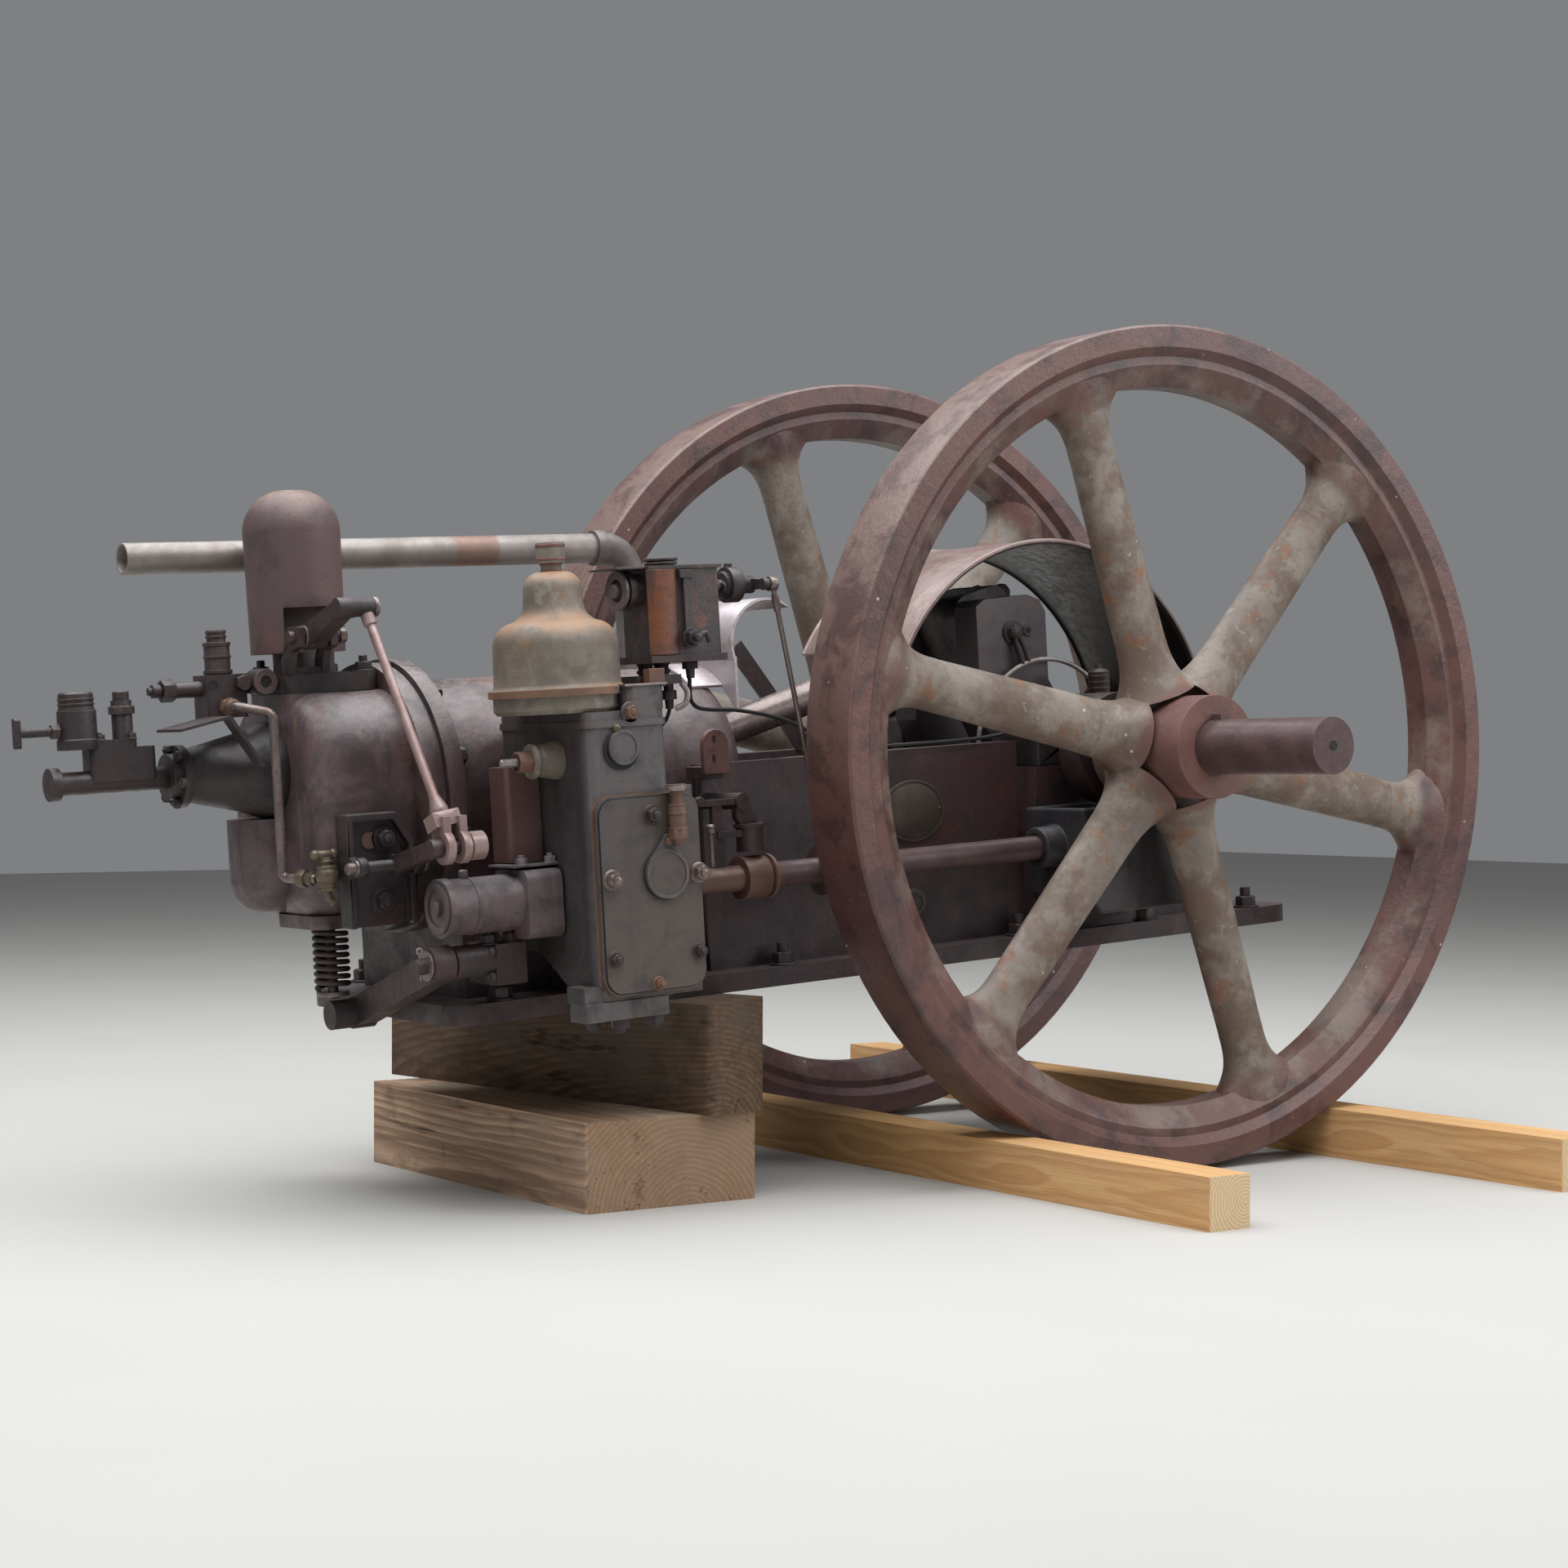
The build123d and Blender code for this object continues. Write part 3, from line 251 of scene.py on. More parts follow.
def red_paint_and_shade_patch(n, c, mid):
    """Red-brown paint left of the governor housing and on its sloped top, and painted shade: faces turned to the left
    are darkened to near-black.
    """
    x, y, z = n.xyz()
    dx, dz = n.math("SUBTRACT", x, CRANK.x), n.math("SUBTRACT", z, CRANK.z)
    ex = n.math("ADD", n.math("MULTIPLY", dx, CA), n.math("MULTIPLY", dz, SA))
    ez = n.math("SUBTRACT", n.math("MULTIPLY", dz, CA), n.math("MULTIPLY", dx, SA))
    wob = n.math("MULTIPLY", n.math("SUBTRACT", mid, 0.5), 0.03)
    g = n.t.nodes.new("ShaderNodeNewGeometry")
    # painted shade: faces whose normal points to -X are darkened to near-black as the housing's shaded side
    left = n.ramp(n.xyz(g.outputs["Normal"])[0], -0.9, -0.55, 0.62, 0.0)
    c = n.mix(left, c, (0.016, 0.012, 0.013))
    k = n.math("MULTIPLY", n.ramp(ex, -1.108, -1.104, 1.0, 0.0), n.ramp(n.math("ADD", ez, wob), -0.106, -0.096))
    k = n.math("MULTIPLY", k, n.ramp(n.math("ADD", ez, wob), 0.040, 0.050, 1.0, 0.0))
    c = n.mix(n.math("MULTIPLY", k, 0.8), c, (0.098, 0.044, 0.038))
    return n.mix(n.math("MULTIPLY", n.ramp(n.up(), 0.3, 0.8), n.ramp(ez, 0.05, 0.10, 0.0, 0.6)), c, (0.15, 0.090, 0.058))


def bell_patch(n, c, mid):
    """Brown weathering, pale lichen and a rusty shoulder."""
    c = n.mix(n.ramp(n.noise(8.0, 5, 0.7, offset=(2, 6, 1)), 0.44, 0.60, 0.0, 0.8), c, (0.118, 0.090, 0.070))
    c = n.mix(n.ramp(n.noise(15.0, 5, 0.7, offset=(7, 2, 3)), 0.57, 0.66, 0.0, 0.7), c, (0.25, 0.235, 0.195))
    s = n.math("MULTIPLY", n.ramp(n.up(), 0.15, 0.8), n.ramp(n.noise(12.0, 4, 0.65, offset=(1, 1, 8)), 0.40, 0.58))
    return n.mix(n.math("MULTIPLY", s, 0.85), c, (0.27, 0.15, 0.080))


def head_patch(n, c, mid):
    """Oily brown blotches and rust runs."""
    c = n.mix(n.ramp(n.noise(6.5, 5, 0.7, offset=(5, 2, 9), dist=0.5), 0.48, 0.62, 0.0, 0.75), c, (0.040, 0.022, 0.021))
    c = n.mix(n.ramp(n.noise(9.0, 5, 0.7, offset=(3, 8, 2)), 0.56, 0.68, 0.0, 0.6), c, (0.135, 0.070, 0.048))
    run = n.ramp(n.noise(22.0, 4, 0.6, stretch=(1.6, 1.6, 0.16), offset=(6, 1, 4)), 0.62, 0.70)
    return n.mix(n.math("MULTIPLY", run, 0.5), c, (0.20, 0.105, 0.050))


def metal(name, base, tint, rust, rust_amount=0.3, rough=(0.3, 0.5), metallic=0.6, scale=1.0, seed=0.0, band=None, inner=None, stub=None):
    """Machined or zinc-coated steel gone dull."""
    n = Nodes(name)
    off = (seed, seed * 0.7, seed * 1.9)
    mid = n.noise(22.0 * scale, 5, 0.62, offset=off)
    fine = n.noise(130.0 * scale, 4, 0.7, offset=off)
    c = n.mix(n.ramp(mid, 0.38, 0.62), base, tint)
    c = n.mix(n.math("MULTIPLY", n.ramp(n.noise(31.0 * scale, 5, 0.7, offset=(seed + 3, 1, 4)), 0.52, 0.66), rust_amount, True), c, rust)
    if band:
        # a rusty joint band across the pipe, at engine x between the two values
        x, y, z = n.xyz()
        ex = n.math("ADD", n.math("MULTIPLY", n.math("SUBTRACT", x, CRANK.x), CA), n.math("MULTIPLY", n.math("SUBTRACT", z, CRANK.z), SA))
        w = n.math("ADD", ex, n.math("MULTIPLY", n.math("SUBTRACT", mid, 0.5), 0.02))
        b = n.math("MULTIPLY", n.ramp(w, band[0] - 0.006, band[0] + 0.004), n.ramp(w, band[1] - 0.004, band[1] + 0.006, 1.0, 0.0))
        c = n.mix(n.math("MULTIPLY", b, 0.8), c, rust)
    if inner:
        # unlit underside of a curved sheet: faces that look towards the crank
        g = n.t.nodes.new("ShaderNodeNewGeometry")
        gn = n.xyz(g.outputs["Normal"])
        x, y, z = n.xyz()
        dot = n.math("ADD", n.math("MULTIPLY", gn[0], n.math("SUBTRACT", x, CRANK.x)), n.math("MULTIPLY", gn[2], n.math("SUBTRACT", z, CRANK.z)))
        c = n.mix(n.ramp(dot, -0.20, -0.05, 1.0, 0.0), c, inner)
    if stub:
        # the shaft's outer ends, beyond the bearings
        x, y, z = n.xyz()
        yy = n.math("ABSOLUTE", n.math("SUBTRACT", y, CRANK.y))
        c = n.mix(n.ramp(yy, 0.20, 0.24), c, n.mix(n.ramp(mid, 0.38, 0.62), stub[0], stub[1]))
    ro = n.ramp(fine, 0.35, 0.65, rough[0], rough[1])
    n.bump(n.math("ADD", n.math("MULTIPLY", fine, 0.6), mid), 0.4, 0.0009)
    return n.set(c, ro, metallic, 0.5)


def wood(name, origin, grain, across, c_light, c_dark, c_grey, ring=110.0, grey=0.5, knots=0.0, crack=0.6, rough=0.75, wear=0.0, streaky=1.0, end=None):
    """Solid wood: growth rings around a pith line, grain along one axis."""
    n = Nodes(name)
    g = Vector(grain).normalized()
    u = Vector(across).normalized()
    v = g.cross(u)
    # rotate to grain space: X along the grain
    parts = []
    for d in (g, u, v):
        dot = n.t.nodes.new("ShaderNodeVectorMath")
        dot.operation = "DOT_PRODUCT"
        sub = n.t.nodes.new("ShaderNodeVectorMath")
        sub.operation = "SUBTRACT"
        n.link(n.co, sub.inputs[0])
        sub.inputs[1].default_value = origin
        n.link(sub.outputs[0], dot.inputs[0])
        dot.inputs[1].default_value = d
        parts.append(dot.outputs["Value"])
    comb = n.t.nodes.new("ShaderNodeCombineXYZ")
    for i in range(3):
        n.link(parts[i], comb.inputs[i])
    co = comb.outputs[0]
    wav = n.noise(6.0, 3, 0.55, stretch=(0.25, 1, 1), co=co)
    wig = n.noise(34.0, 4, 0.6, stretch=(0.12, 1, 1), co=co)
    a2 = n.math("MULTIPLY", parts[1], parts[1])
    b2 = n.math("MULTIPLY", parts[2], parts[2])
    dist = n.math("SQRT", n.math("ADD", a2, b2))
    dist = n.math("ADD", dist, n.math("MULTIPLY", n.math("SUBTRACT", wav, 0.5), 0.035))
    dist = n.math("ADD", dist, n.math("MULTIPLY", n.math("SUBTRACT", wig, 0.5), 0.004))
    ph = n.math("FRACT", n.math("MULTIPLY", dist, ring))
    rg = n.math("MULTIPLY", n.ramp(ph, 0.05, 0.85), n.ramp(ph, 0.85, 1.0, 1.0, 0.0))
    fibre = n.noise(60.0, 6, 0.75, stretch=(0.035, 1, 1), co=co)
    fibre2 = n.noise(240.0, 4, 0.7, stretch=(0.02, 1, 1), co=co)
    c = n.mix(n.math("MULTIPLY", rg, 0.75), c_light, c_dark)
    c = n.mix(n.ramp(fibre, 0.40, 0.64, 0.0, 0.55 * streaky), c, c_dark)
    blot = n.noise(5.5, 5, 0.65, stretch=(0.5, 1, 1), offset=(3, 1, 7), co=co)
    c = n.mix(n.ramp(blot, 0.42, 0.62, 0.0, grey), c, c_grey)
    cr = n.ramp(n.noise(30.0, 4, 0.65, stretch=(0.05, 1, 1), offset=(5, 5, 5), co=co), 0.60, 0.68)
    c = n.mix(n.math("MULTIPLY", cr, crack, True), c, (0.012, 0.009, 0.007))
    if knots:
        k = n.ramp(n.voronoi(4.2, stretch=(0.7, 1, 1), co=co), 0.03, 0.10, 1.0, 0.0)
        c = n.mix(n.math("MULTIPLY", k, knots, True), c, (0.10, 0.045, 0.02))
    if wear:
        w = n.ramp(n.noise(8.0, 5, 0.7, offset=(1, 9, 4)), 0.52, 0.66)
        c = n.mix(n.math("MULTIPLY", w, wear, True), c, (0.025, 0.019, 0.016))
    if end:
        g2 = n.t.nodes.new("ShaderNodeNewGeometry")
        ny = n.math("ABSOLUTE", n.xyz(g2.outputs["Normal"])[1])
        c = n.mix(n.ramp(ny, 0.80, 0.92, 0.0, 0.75), c, n.mix(n.math("MULTIPLY", rg, 0.55), end, c_dark))
    h = n.math("ADD", n.math("MULTIPLY", fibre, 1.0), n.math("MULTIPLY", fibre2, 0.5))
    h = n.math("SUBTRACT", h, n.math("MULTIPLY", cr, 1.2 * crack))
    n.bump(h, 0.7, 0.002)
    return n.set(c, rough, 0.0, 0.25)


M = {}
M["bed"] = iron("bed_iron", (0.038, 0.022, 0.026), (0.056, 0.027, 0.028), (0.020, 0.015, 0.015), (0.17, 0.062, 0.030), 0.30, (0.34, 0.60), 0.5, 0.30, (0.17, 0.13, 0.12), seed=1)
M["head"] = iron("head_iron", (0.112, 0.078, 0.081), (0.070, 0.040, 0.039), (0.026, 0.018, 0.018), (0.16, 0.070, 0.036), 0.35, (0.25, 0.50), 0.55, 0.45, (0.28, 0.24, 0.235), seed=5, patch=head_patch)
M["dark"] = iron("dark_iron", (0.030, 0.020, 0.021), (0.042, 0.022, 0.021), (0.009, 0.007, 0.008), (0.13, 0.050, 0.026), 0.30, (0.32, 0.58), 0.5, 0.25, (0.12, 0.10, 0.095), seed=9)
M["dome"] = iron("dome_iron", (0.090, 0.056, 0.060), (0.105, 0.060, 0.056), (0.050, 0.034, 0.036), (0.21, 0.105, 0.060), 0.30, (0.42, 0.62), 0.25, 0.75, (0.24, 0.150, 0.105), 0.8, seed=13)
# the housing's patch also paints shade: its left-facing faces are darkened to near-black
M["housing"] = iron("housing_paint", (0.086, 0.075, 0.076), (0.096, 0.076, 0.068), (0.026, 0.022, 0.022), (0.20, 0.085, 0.030), 0.35, (0.34, 0.58), 0.45, 0.35, (0.17, 0.14, 0.11), seed=17, patch=red_paint_and_shade_patch)
M["cover"] = iron("cover_paint", (0.062, 0.052, 0.052), (0.078, 0.058, 0.048), (0.036, 0.029, 0.028), (0.16, 0.085, 0.045), 0.35, (0.36, 0.56), 0.30, 0.2, (0.16, 0.14, 0.12), 0.6, seed=21)
M["bell"] = iron("bell_paint", (0.168, 0.146, 0.124), (0.190, 0.156, 0.122), (0.080, 0.066, 0.052), (0.27, 0.125, 0.045), 0.65, (0.44, 0.68), 0.35, 0.70, (0.27, 0.20, 0.135), 0.9, seed=25, specks=0.8, patch=bell_patch)
M["redbr"] = iron("red_bracket", (0.135, 0.058, 0.054), (0.165, 0.068, 0.056), (0.036, 0.020, 0.020), (0.22, 0.080, 0.034), 0.4, (0.40, 0.62), 0.3, 0.3, seed=29)
M["steel"] = metal("oily_steel", (0.16, 0.125, 0.115), (0.21, 0.17, 0.16), (0.14, 0.055, 0.028), 0.35, (0.24, 0.44), 0.55, seed=2)
M["shaft"] = metal("rusty_shaft", (0.076, 0.046, 0.047), (0.098, 0.060, 0.058), (0.120, 0.060, 0.042), 0.3, (0.34, 0.56), 0.15, seed=6, band=(-0.835, -0.700))
M["pale"] = metal("worn_bright", (0.33, 0.30, 0.29), (0.24, 0.20, 0.19), (0.17, 0.080, 0.042), 0.3, (0.26, 0.46), 0.5, seed=8)
M["orange"] = metal("rusty_fitting", (0.150, 0.076, 0.050), (0.112, 0.062, 0.046), (0.26, 0.115, 0.050), 0.4, (0.45, 0.66), 0.1, seed=11)
M["pipe"] = metal("zinc_pipe", (0.205, 0.180, 0.160), (0.28, 0.245, 0.225), (0.22, 0.125, 0.090), 0.25, (0.38, 0.56), 0.35, 0.8, seed=3, band=(-1.010, -0.930))
M["guard"] = metal("guard_sheet", (0.48, 0.43, 0.445), (0.39, 0.335, 0.34), (0.19, 0.105, 0.072), 0.45, (0.26, 0.42), 0.25, 0.5, seed=14)
M["hood"] = metal("hood_sheet", (0.185, 0.122, 0.112), (0.24, 0.175, 0.163), (0.24, 0.115, 0.068), 0.45, (0.28, 0.46), 0.2, 0.45, seed=19, inner=(0.012, 0.009, 0.009))
M["brass"] = metal("old_brass", (0.135, 0.112, 0.075), (0.105, 0.078, 0.050), (0.10, 0.060, 0.036), 0.4, (0.32, 0.48), 0.4, seed=23)
M["lub"] = iron("lub_dark", (0.042, 0.036, 0.039), (0.054, 0.036, 0.036), (0.018, 0.014, 0.014), (0.26, 0.085, 0.030), 0.6, (0.28, 0.50), 0.4, 0.15, seed=33)
M["luborange"] = iron("lub_orange", (0.052, 0.022, 0.018), (0.150, 0.040, 0.010), (0.024, 0.013, 0.012), (0.20, 0.060, 0.014), 0.6, (0.34, 0.56), 0.75, 0.1, seed=37)
M["drum"] = iron("drum_iron", (0.140, 0.124, 0.136), (0.110, 0.074, 0.072), (0.030, 0.024, 0.024), (0.20, 0.090, 0.045), 0.4, (0.30, 0.54), 0.4, 0.35, (0.20, 0.175, 0.17), seed=41)
# black for gaskets and thin pipes, and painted shade inside holes and slots
M["black"] = iron("black_and_hole_shade", (0.008, 0.007, 0.007), (0.010, 0.008, 0.008), (0.004, 0.004, 0.004), (0.02, 0.012, 0.008), 0.2, (0.6, 0.8), 0.2, 0.0, seed=45)
M["wheel"] = wheel_material()
M["collar"] = metal("rusty_collar", (0.145, 0.082, 0.055), (0.18, 0.095, 0.055), (0.26, 0.125, 0.045), 0.45, (0.42, 0.62), 0.1, seed=51)
M["rod"] = metal("worn_rod", (0.250, 0.165, 0.155), (0.31, 0.225, 0.215), (0.18, 0.080, 0.050), 0.4, (0.28, 0.46), 0.3, seed=61)
M["crank"] = metal("crank_steel", (0.064, 0.051, 0.056), (0.084, 0.067, 0.072), (0.14, 0.062, 0.036), 0.3, (0.30, 0.50), 0.2, seed=63, stub=((0.080, 0.046, 0.047), (0.105, 0.062, 0.060)))
M["lever"] = iron("lever_iron", (0.036, 0.018, 0.018), (0.048, 0.022, 0.020), (0.012, 0.009, 0.010), (0.12, 0.044, 0.026), 0.25, (0.34, 0.58), 0.5, 0.2, (0.10, 0.07, 0.06), seed=65)
M["elbow"] = metal("elbow_zinc", (0.120, 0.104, 0.098), (0.165, 0.142, 0.132), (0.17, 0.095, 0.068), 0.3, (0.40, 0.58), 0.3, 0.8, seed=73)
M["plate"] = iron("plate_brass", (0.062, 0.046, 0.036), (0.080, 0.060, 0.042), (0.030, 0.022, 0.019), (0.12, 0.070, 0.035), 0.3, (0.34, 0.55), 0.4, 0.2, seed=75)
M["vap"] = iron("vap_iron", (0.019, 0.011, 0.012), (0.029, 0.015, 0.015), (0.007, 0.005, 0.006), (0.09, 0.034, 0.020), 0.25, (0.30, 0.55), 0.5, 0.2, (0.07, 0.055, 0.05), seed=71)
M["case"] = iron("case_iron", (0.034, 0.030, 0.036), (0.044, 0.032, 0.034), (0.012, 0.011, 0.012), (0.12, 0.050, 0.030), 0.25, (0.34, 0.58), 0.4, 0.3, (0.12, 0.11, 0.11), seed=67)

NODE_MAT = {
    "flywheel_near": "wheel", "flywheel_far": "wheel", "crankshaft": "crank", "crank_gear": "dark",
    "bed": "bed", "cylinder_jacket": "head", "head_flange": "head", "cylinder_head": "head", "piston": "steel",
    "connecting_rod": "steel", "rod_big_end": "dark", "main_bearing_near": "dark", "main_bearing_far": "dark", "crank_hood": "hood",
    "rod_guard": "guard", "vaporiser": "vap", "fuel_valve": "vap", "fuel_strainer": "vap",
    "head_top_plate": "dark", "air_silencer": "dome", "valve_block": "dark", "drip_shield": "dark",
    "rocker_post": "dark", "inlet_rocker": "dark", "lever_bracket": "dark", "inlet_lever": "dark",
    "push_rod": "rod", "side_shaft": "shaft", "gear_case": "case", "side_shaft_bearing": "drum",
    "exhaust_valve_spring": "orange", "exhaust_valve_stem": "steel", "exhaust_lever": "lever",
    "exhaust_lever_bracket": "lever", "governor_housing": "housing", "governor_cover": "cover", "oil_cup": "orange",
    "governor_bell": "bell", "lubricator_bracket": "dark", "lubricator_box": "lub", "lubricator_lid": "lub",
    "lubricator_shaft": "steel", "lubricator_lever": "dark", "lubricator_rod": "steel", "slotted_plate": "redbr",
    "trip_gear": "dark", "water_pipe": "pipe", "water_elbow": "elbow", "fuel_pipe": "steel", "drain_cock": "brass",
}
SOFT = {"flywheel_near": 4, "flywheel_far": 4, "bed": 7, "cylinder_jacket": 5, "head_flange": 4, "cylinder_head": 14, "governor_housing": 5,
        "governor_cover": 2, "air_silencer": 2, "governor_bell": 2.5, "main_bearing_near": 5, "main_bearing_far": 5,
        "connecting_rod": 4, "crankshaft": 3, "side_shaft_bearing": 5, "gear_case": 5, "exhaust_lever": 4,
        "exhaust_lever_bracket": 3, "lever_bracket": 3, "vaporiser": 3, "fuel_valve": 3, "valve_block": 2.5}
for name, ob in NODES.items():
    if name not in NODE_MAT:
        continue
    ob.data.materials.clear()
    ob.data.materials.append(M[NODE_MAT[name]])
    w = ob.modifiers.new("weld", "WELD")
    w.merge_threshold = 0.00002
    b = ob.modifiers.new("bevel", "BEVEL")
    b.width = SOFT.get(name, 1.2) / 1000
    b.segments = 3 if name in SOFT else 2
    b.limit_method = "ANGLE"
    b.angle_limit = math.radians(38)
    b.use_clamp_overlap = True
    b.harden_normals = False


# ---- mesh building -------------------------------------------------------------
class Build:
    """Collects faces of many small solids into one mesh."""

    def __init__(self):
        self.v, self.f = [], []

    def add(self, verts, faces):
        k = len(self.v)
        self.v += [tuple(p) for p in verts]
        self.f += [tuple(i + k for i in q) for q in faces]

    def rings(self, rings, cap=True, closed=False):
        n = len(rings[0])
        verts = [p for r in rings for p in r]
        faces = []
        m = len(rings)
        for i in range(m if closed else m - 1):
            a, b = i * n, ((i + 1) % m) * n
            for j in range(n):
                k = (j + 1) % n
                faces.append((a + j, a + k, b + k, b + j))
        if cap and not closed:
            faces.append(tuple(reversed(range(n))))
            faces.append(tuple(range((m - 1) * n, m * n)))
        self.add(verts, faces)

    def lathe(self, profile, origin, axis, n=40, closed=False):
        axis = Vector(axis).normalized()
        side = axis.orthogonal().normalized()
        other = axis.cross(side)
        o = Vector(origin)
        rings = []
        for h, r in profile:
            r = max(r, 0.00002)
            rings.append([o + axis * h + (side * math.cos(2 * math.pi * j / n) + other * math.sin(2 * math.pi * j / n)) * r for j in range(n)])
        self.rings(rings, cap=not closed, closed=closed)

    def disc(self, origin, axis, r, h, n=40, ch=0.0008):
        self.lathe([(0, r - ch), (ch, r), (h - ch, r), (h, r - ch)], origin, axis, n)

    def hexa(self, origin, axis, af, h, turn=0.0, ch=0.12):
        axis = Vector(axis).normalized()
        side = Matrix.Rotation(turn, 3, axis) @ axis.orthogonal().normalized()
        other = axis.cross(side)
        o = Vector(origin)
        R = af / math.sqrt(3)
        n = 24
        rings = []
        for hh, k in ((0, 1.0), (h * (1 - ch), 1.0), (h, 0.90)):
            ring = []
            for j in range(n):
                a = 2 * math.pi * j / n
                loc = (a + math.pi / 6) % (math.pi / 3) - math.pi / 6
                rr = af / 2 / math.cos(loc)
                rr = min(rr, R * 0.985)
                if k < 1:
                    rr = min(rr, af / 2 * 0.97)
                ring.append(o + axis * hh + (side * math.cos(a) + other * math.sin(a)) * rr)
            rings.append(ring)
        self.rings(rings)

    def nut(self, origin, axis, m, turn=0.0, washer=True, stud=0.6, head=False):
        """Nut on a stud, or a bolt head, of thread size m in metres."""
        axis = Vector(axis).normalized()
        o = Vector(origin)
        if washer:
            self.disc(o - axis * 0.0005, axis, m * 1.15, m * 0.2, 28)
            o = o + axis * m * 0.17
        self.hexa(o, axis, m * 1.6, m * (0.7 if head else 0.85), turn)
        if stud:
            self.lathe([(0, m * 0.46), (m * (0.85 + stud) - 0.001, m * 0.46), (m * (0.85 + stud), m * 0.34)], o, axis, 18)

    def tube(self, pts, r, n=12, smooth=0, closed=False, cap=True):
        pts = [Vector(p) for p in pts]
        if smooth:
            pts = curve_points(pts, smooth, closed)
        rings = []
        prev = None
        m = len(pts)
        for i, p in enumerate(pts):
            if closed:
                d = (pts[(i + 1) % m] - pts[i - 1]).normalized()
            else:
                d = (pts[min(i + 1, m - 1)] - pts[max(i - 1, 0)]).normalized()
            if prev is None:
                s = d.orthogonal().normalized()
            else:
                s = (prev - d * prev.dot(d)).normalized()
            prev = s
            t = d.cross(s)
            rr = r(i / (m - 1)) if callable(r) else r
            rings.append([p + (s * math.cos(2 * math.pi * j / n) + t * math.sin(2 * math.pi * j / n)) * rr for j in range(n)])
        self.rings(rings, cap=cap, closed=closed)

    def slab(self, poly, origin, xd, yd, depth, r=0.0):
        """Extruded outline. poly in metres on xd, yd; depth along xd x yd."""
        xd, yd = Vector(xd).normalized(), Vector(yd).normalized()
        nd = xd.cross(yd)
        o = Vector(origin)
        a = [o + xd * p[0] + yd * p[1] for p in poly]
        area = sum(poly[i][0] * poly[(i + 1) % len(poly)][1] - poly[(i + 1) % len(poly)][0] * poly[i][1] for i in range(len(poly)))
        if area < 0:
            a.reverse()
        if r:
            cx = sum((p for p in a), Vector()) / len(a)
            top = [p + nd * depth + (cx - p).normalized() * r for p in a]
            mid = [p + nd * (depth - r) for p in a]
            self.rings([a, mid, top])
        else:
            self.rings([a, [p + nd * depth for p in a]])

    def box(self, origin, xd, yd, sx, sy, depth, r=0.0):
        self.slab([(-sx / 2, -sy / 2), (sx / 2, -sy / 2), (sx / 2, sy / 2), (-sx / 2, sy / 2)], origin, xd, yd, depth, r)

    def make(self, name, mat, body="engine", bevel=0.0, smooth=40.0, slot=None, replaces=()):
        me = bpy.data.meshes.new(name)
        me.from_pydata(self.v, [], self.f)
        me.materials.append(M[mat] if isinstance(mat, str) else mat)
        bm = bmesh.new()
        bm.from_mesh(me)
        bmesh.ops.recalc_face_normals(bm, faces=bm.faces)
        for f in bm.faces:
            f.smooth = True
        lim = math.radians(smooth)
        for e in bm.edges:
            if len(e.link_faces) == 2 and e.calc_face_angle(0.0) > lim:
                e.smooth = False
        bm.to_mesh(me)
        bm.free()
        ob = bpy.data.objects.new(name, me)
        bpy.context.scene.collection.objects.link(ob)
        if bevel:
            b = ob.modifiers.new("bevel", "BEVEL")
            b.width = bevel
            b.segments = 2
            b.limit_method = "ANGLE"
            b.angle_limit = math.radians(40)
        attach(ob, body)
        if replaces:
            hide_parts(*replaces)
        return ob


def curve_points(pts, steps, closed=False):
    """Catmull-Rom through the points."""
    out = []
    m = len(pts)
    for i in range(m if closed else m - 1):
        if closed:
            p0, p1, p2, p3 = pts[i - 1], pts[i], pts[(i + 1) % m], pts[(i + 2) % m]
        else:
            p0, p1, p2, p3 = pts[max(i - 1, 0)], pts[i], pts[i + 1], pts[min(i + 2, m - 1)]
        for k in range(steps):
            t = k / steps
            out.append(0.5 * ((2 * p1) + (p2 - p0) * t + (2 * p0 - 5 * p1 + 4 * p2 - p3) * t * t + (3 * p1 - p0 - 3 * p2 + p3) * t * t * t))
    if not closed:
        out.append(pts[-1])
    return out


def rounded(w, h, r, n=6):
    """Outline of a rounded rectangle, centred."""
    pts = []
    for cx, cy, a0 in ((w / 2 - r, h / 2 - r, 0), (-w / 2 + r, h / 2 - r, 90), (-w / 2 + r, -h / 2 + r, 180), (w / 2 - r, -h / 2 + r, 270)):
        for k in range(n + 1):
            a = math.radians(a0 + 90 * k / n)
            pts.append((cx + r * math.cos(a), cy + r * math.sin(a)))
    return pts


def circle(r, n=40, cx=0.0, cy=0.0):
    return [(cx + r * math.cos(2 * math.pi * k / n), cy + r * math.sin(2 * math.pi * k / n)) for k in range(n)]


mm = 0.001
rng = random.Random(7)

# ---- flywheels: flared ends of the spokes --------------------------------------
def spoke_size(r):
    q = (r - 0.062) / 0.538
    return 0.048 - 0.008 * q, 0.035 - 0.006 * q


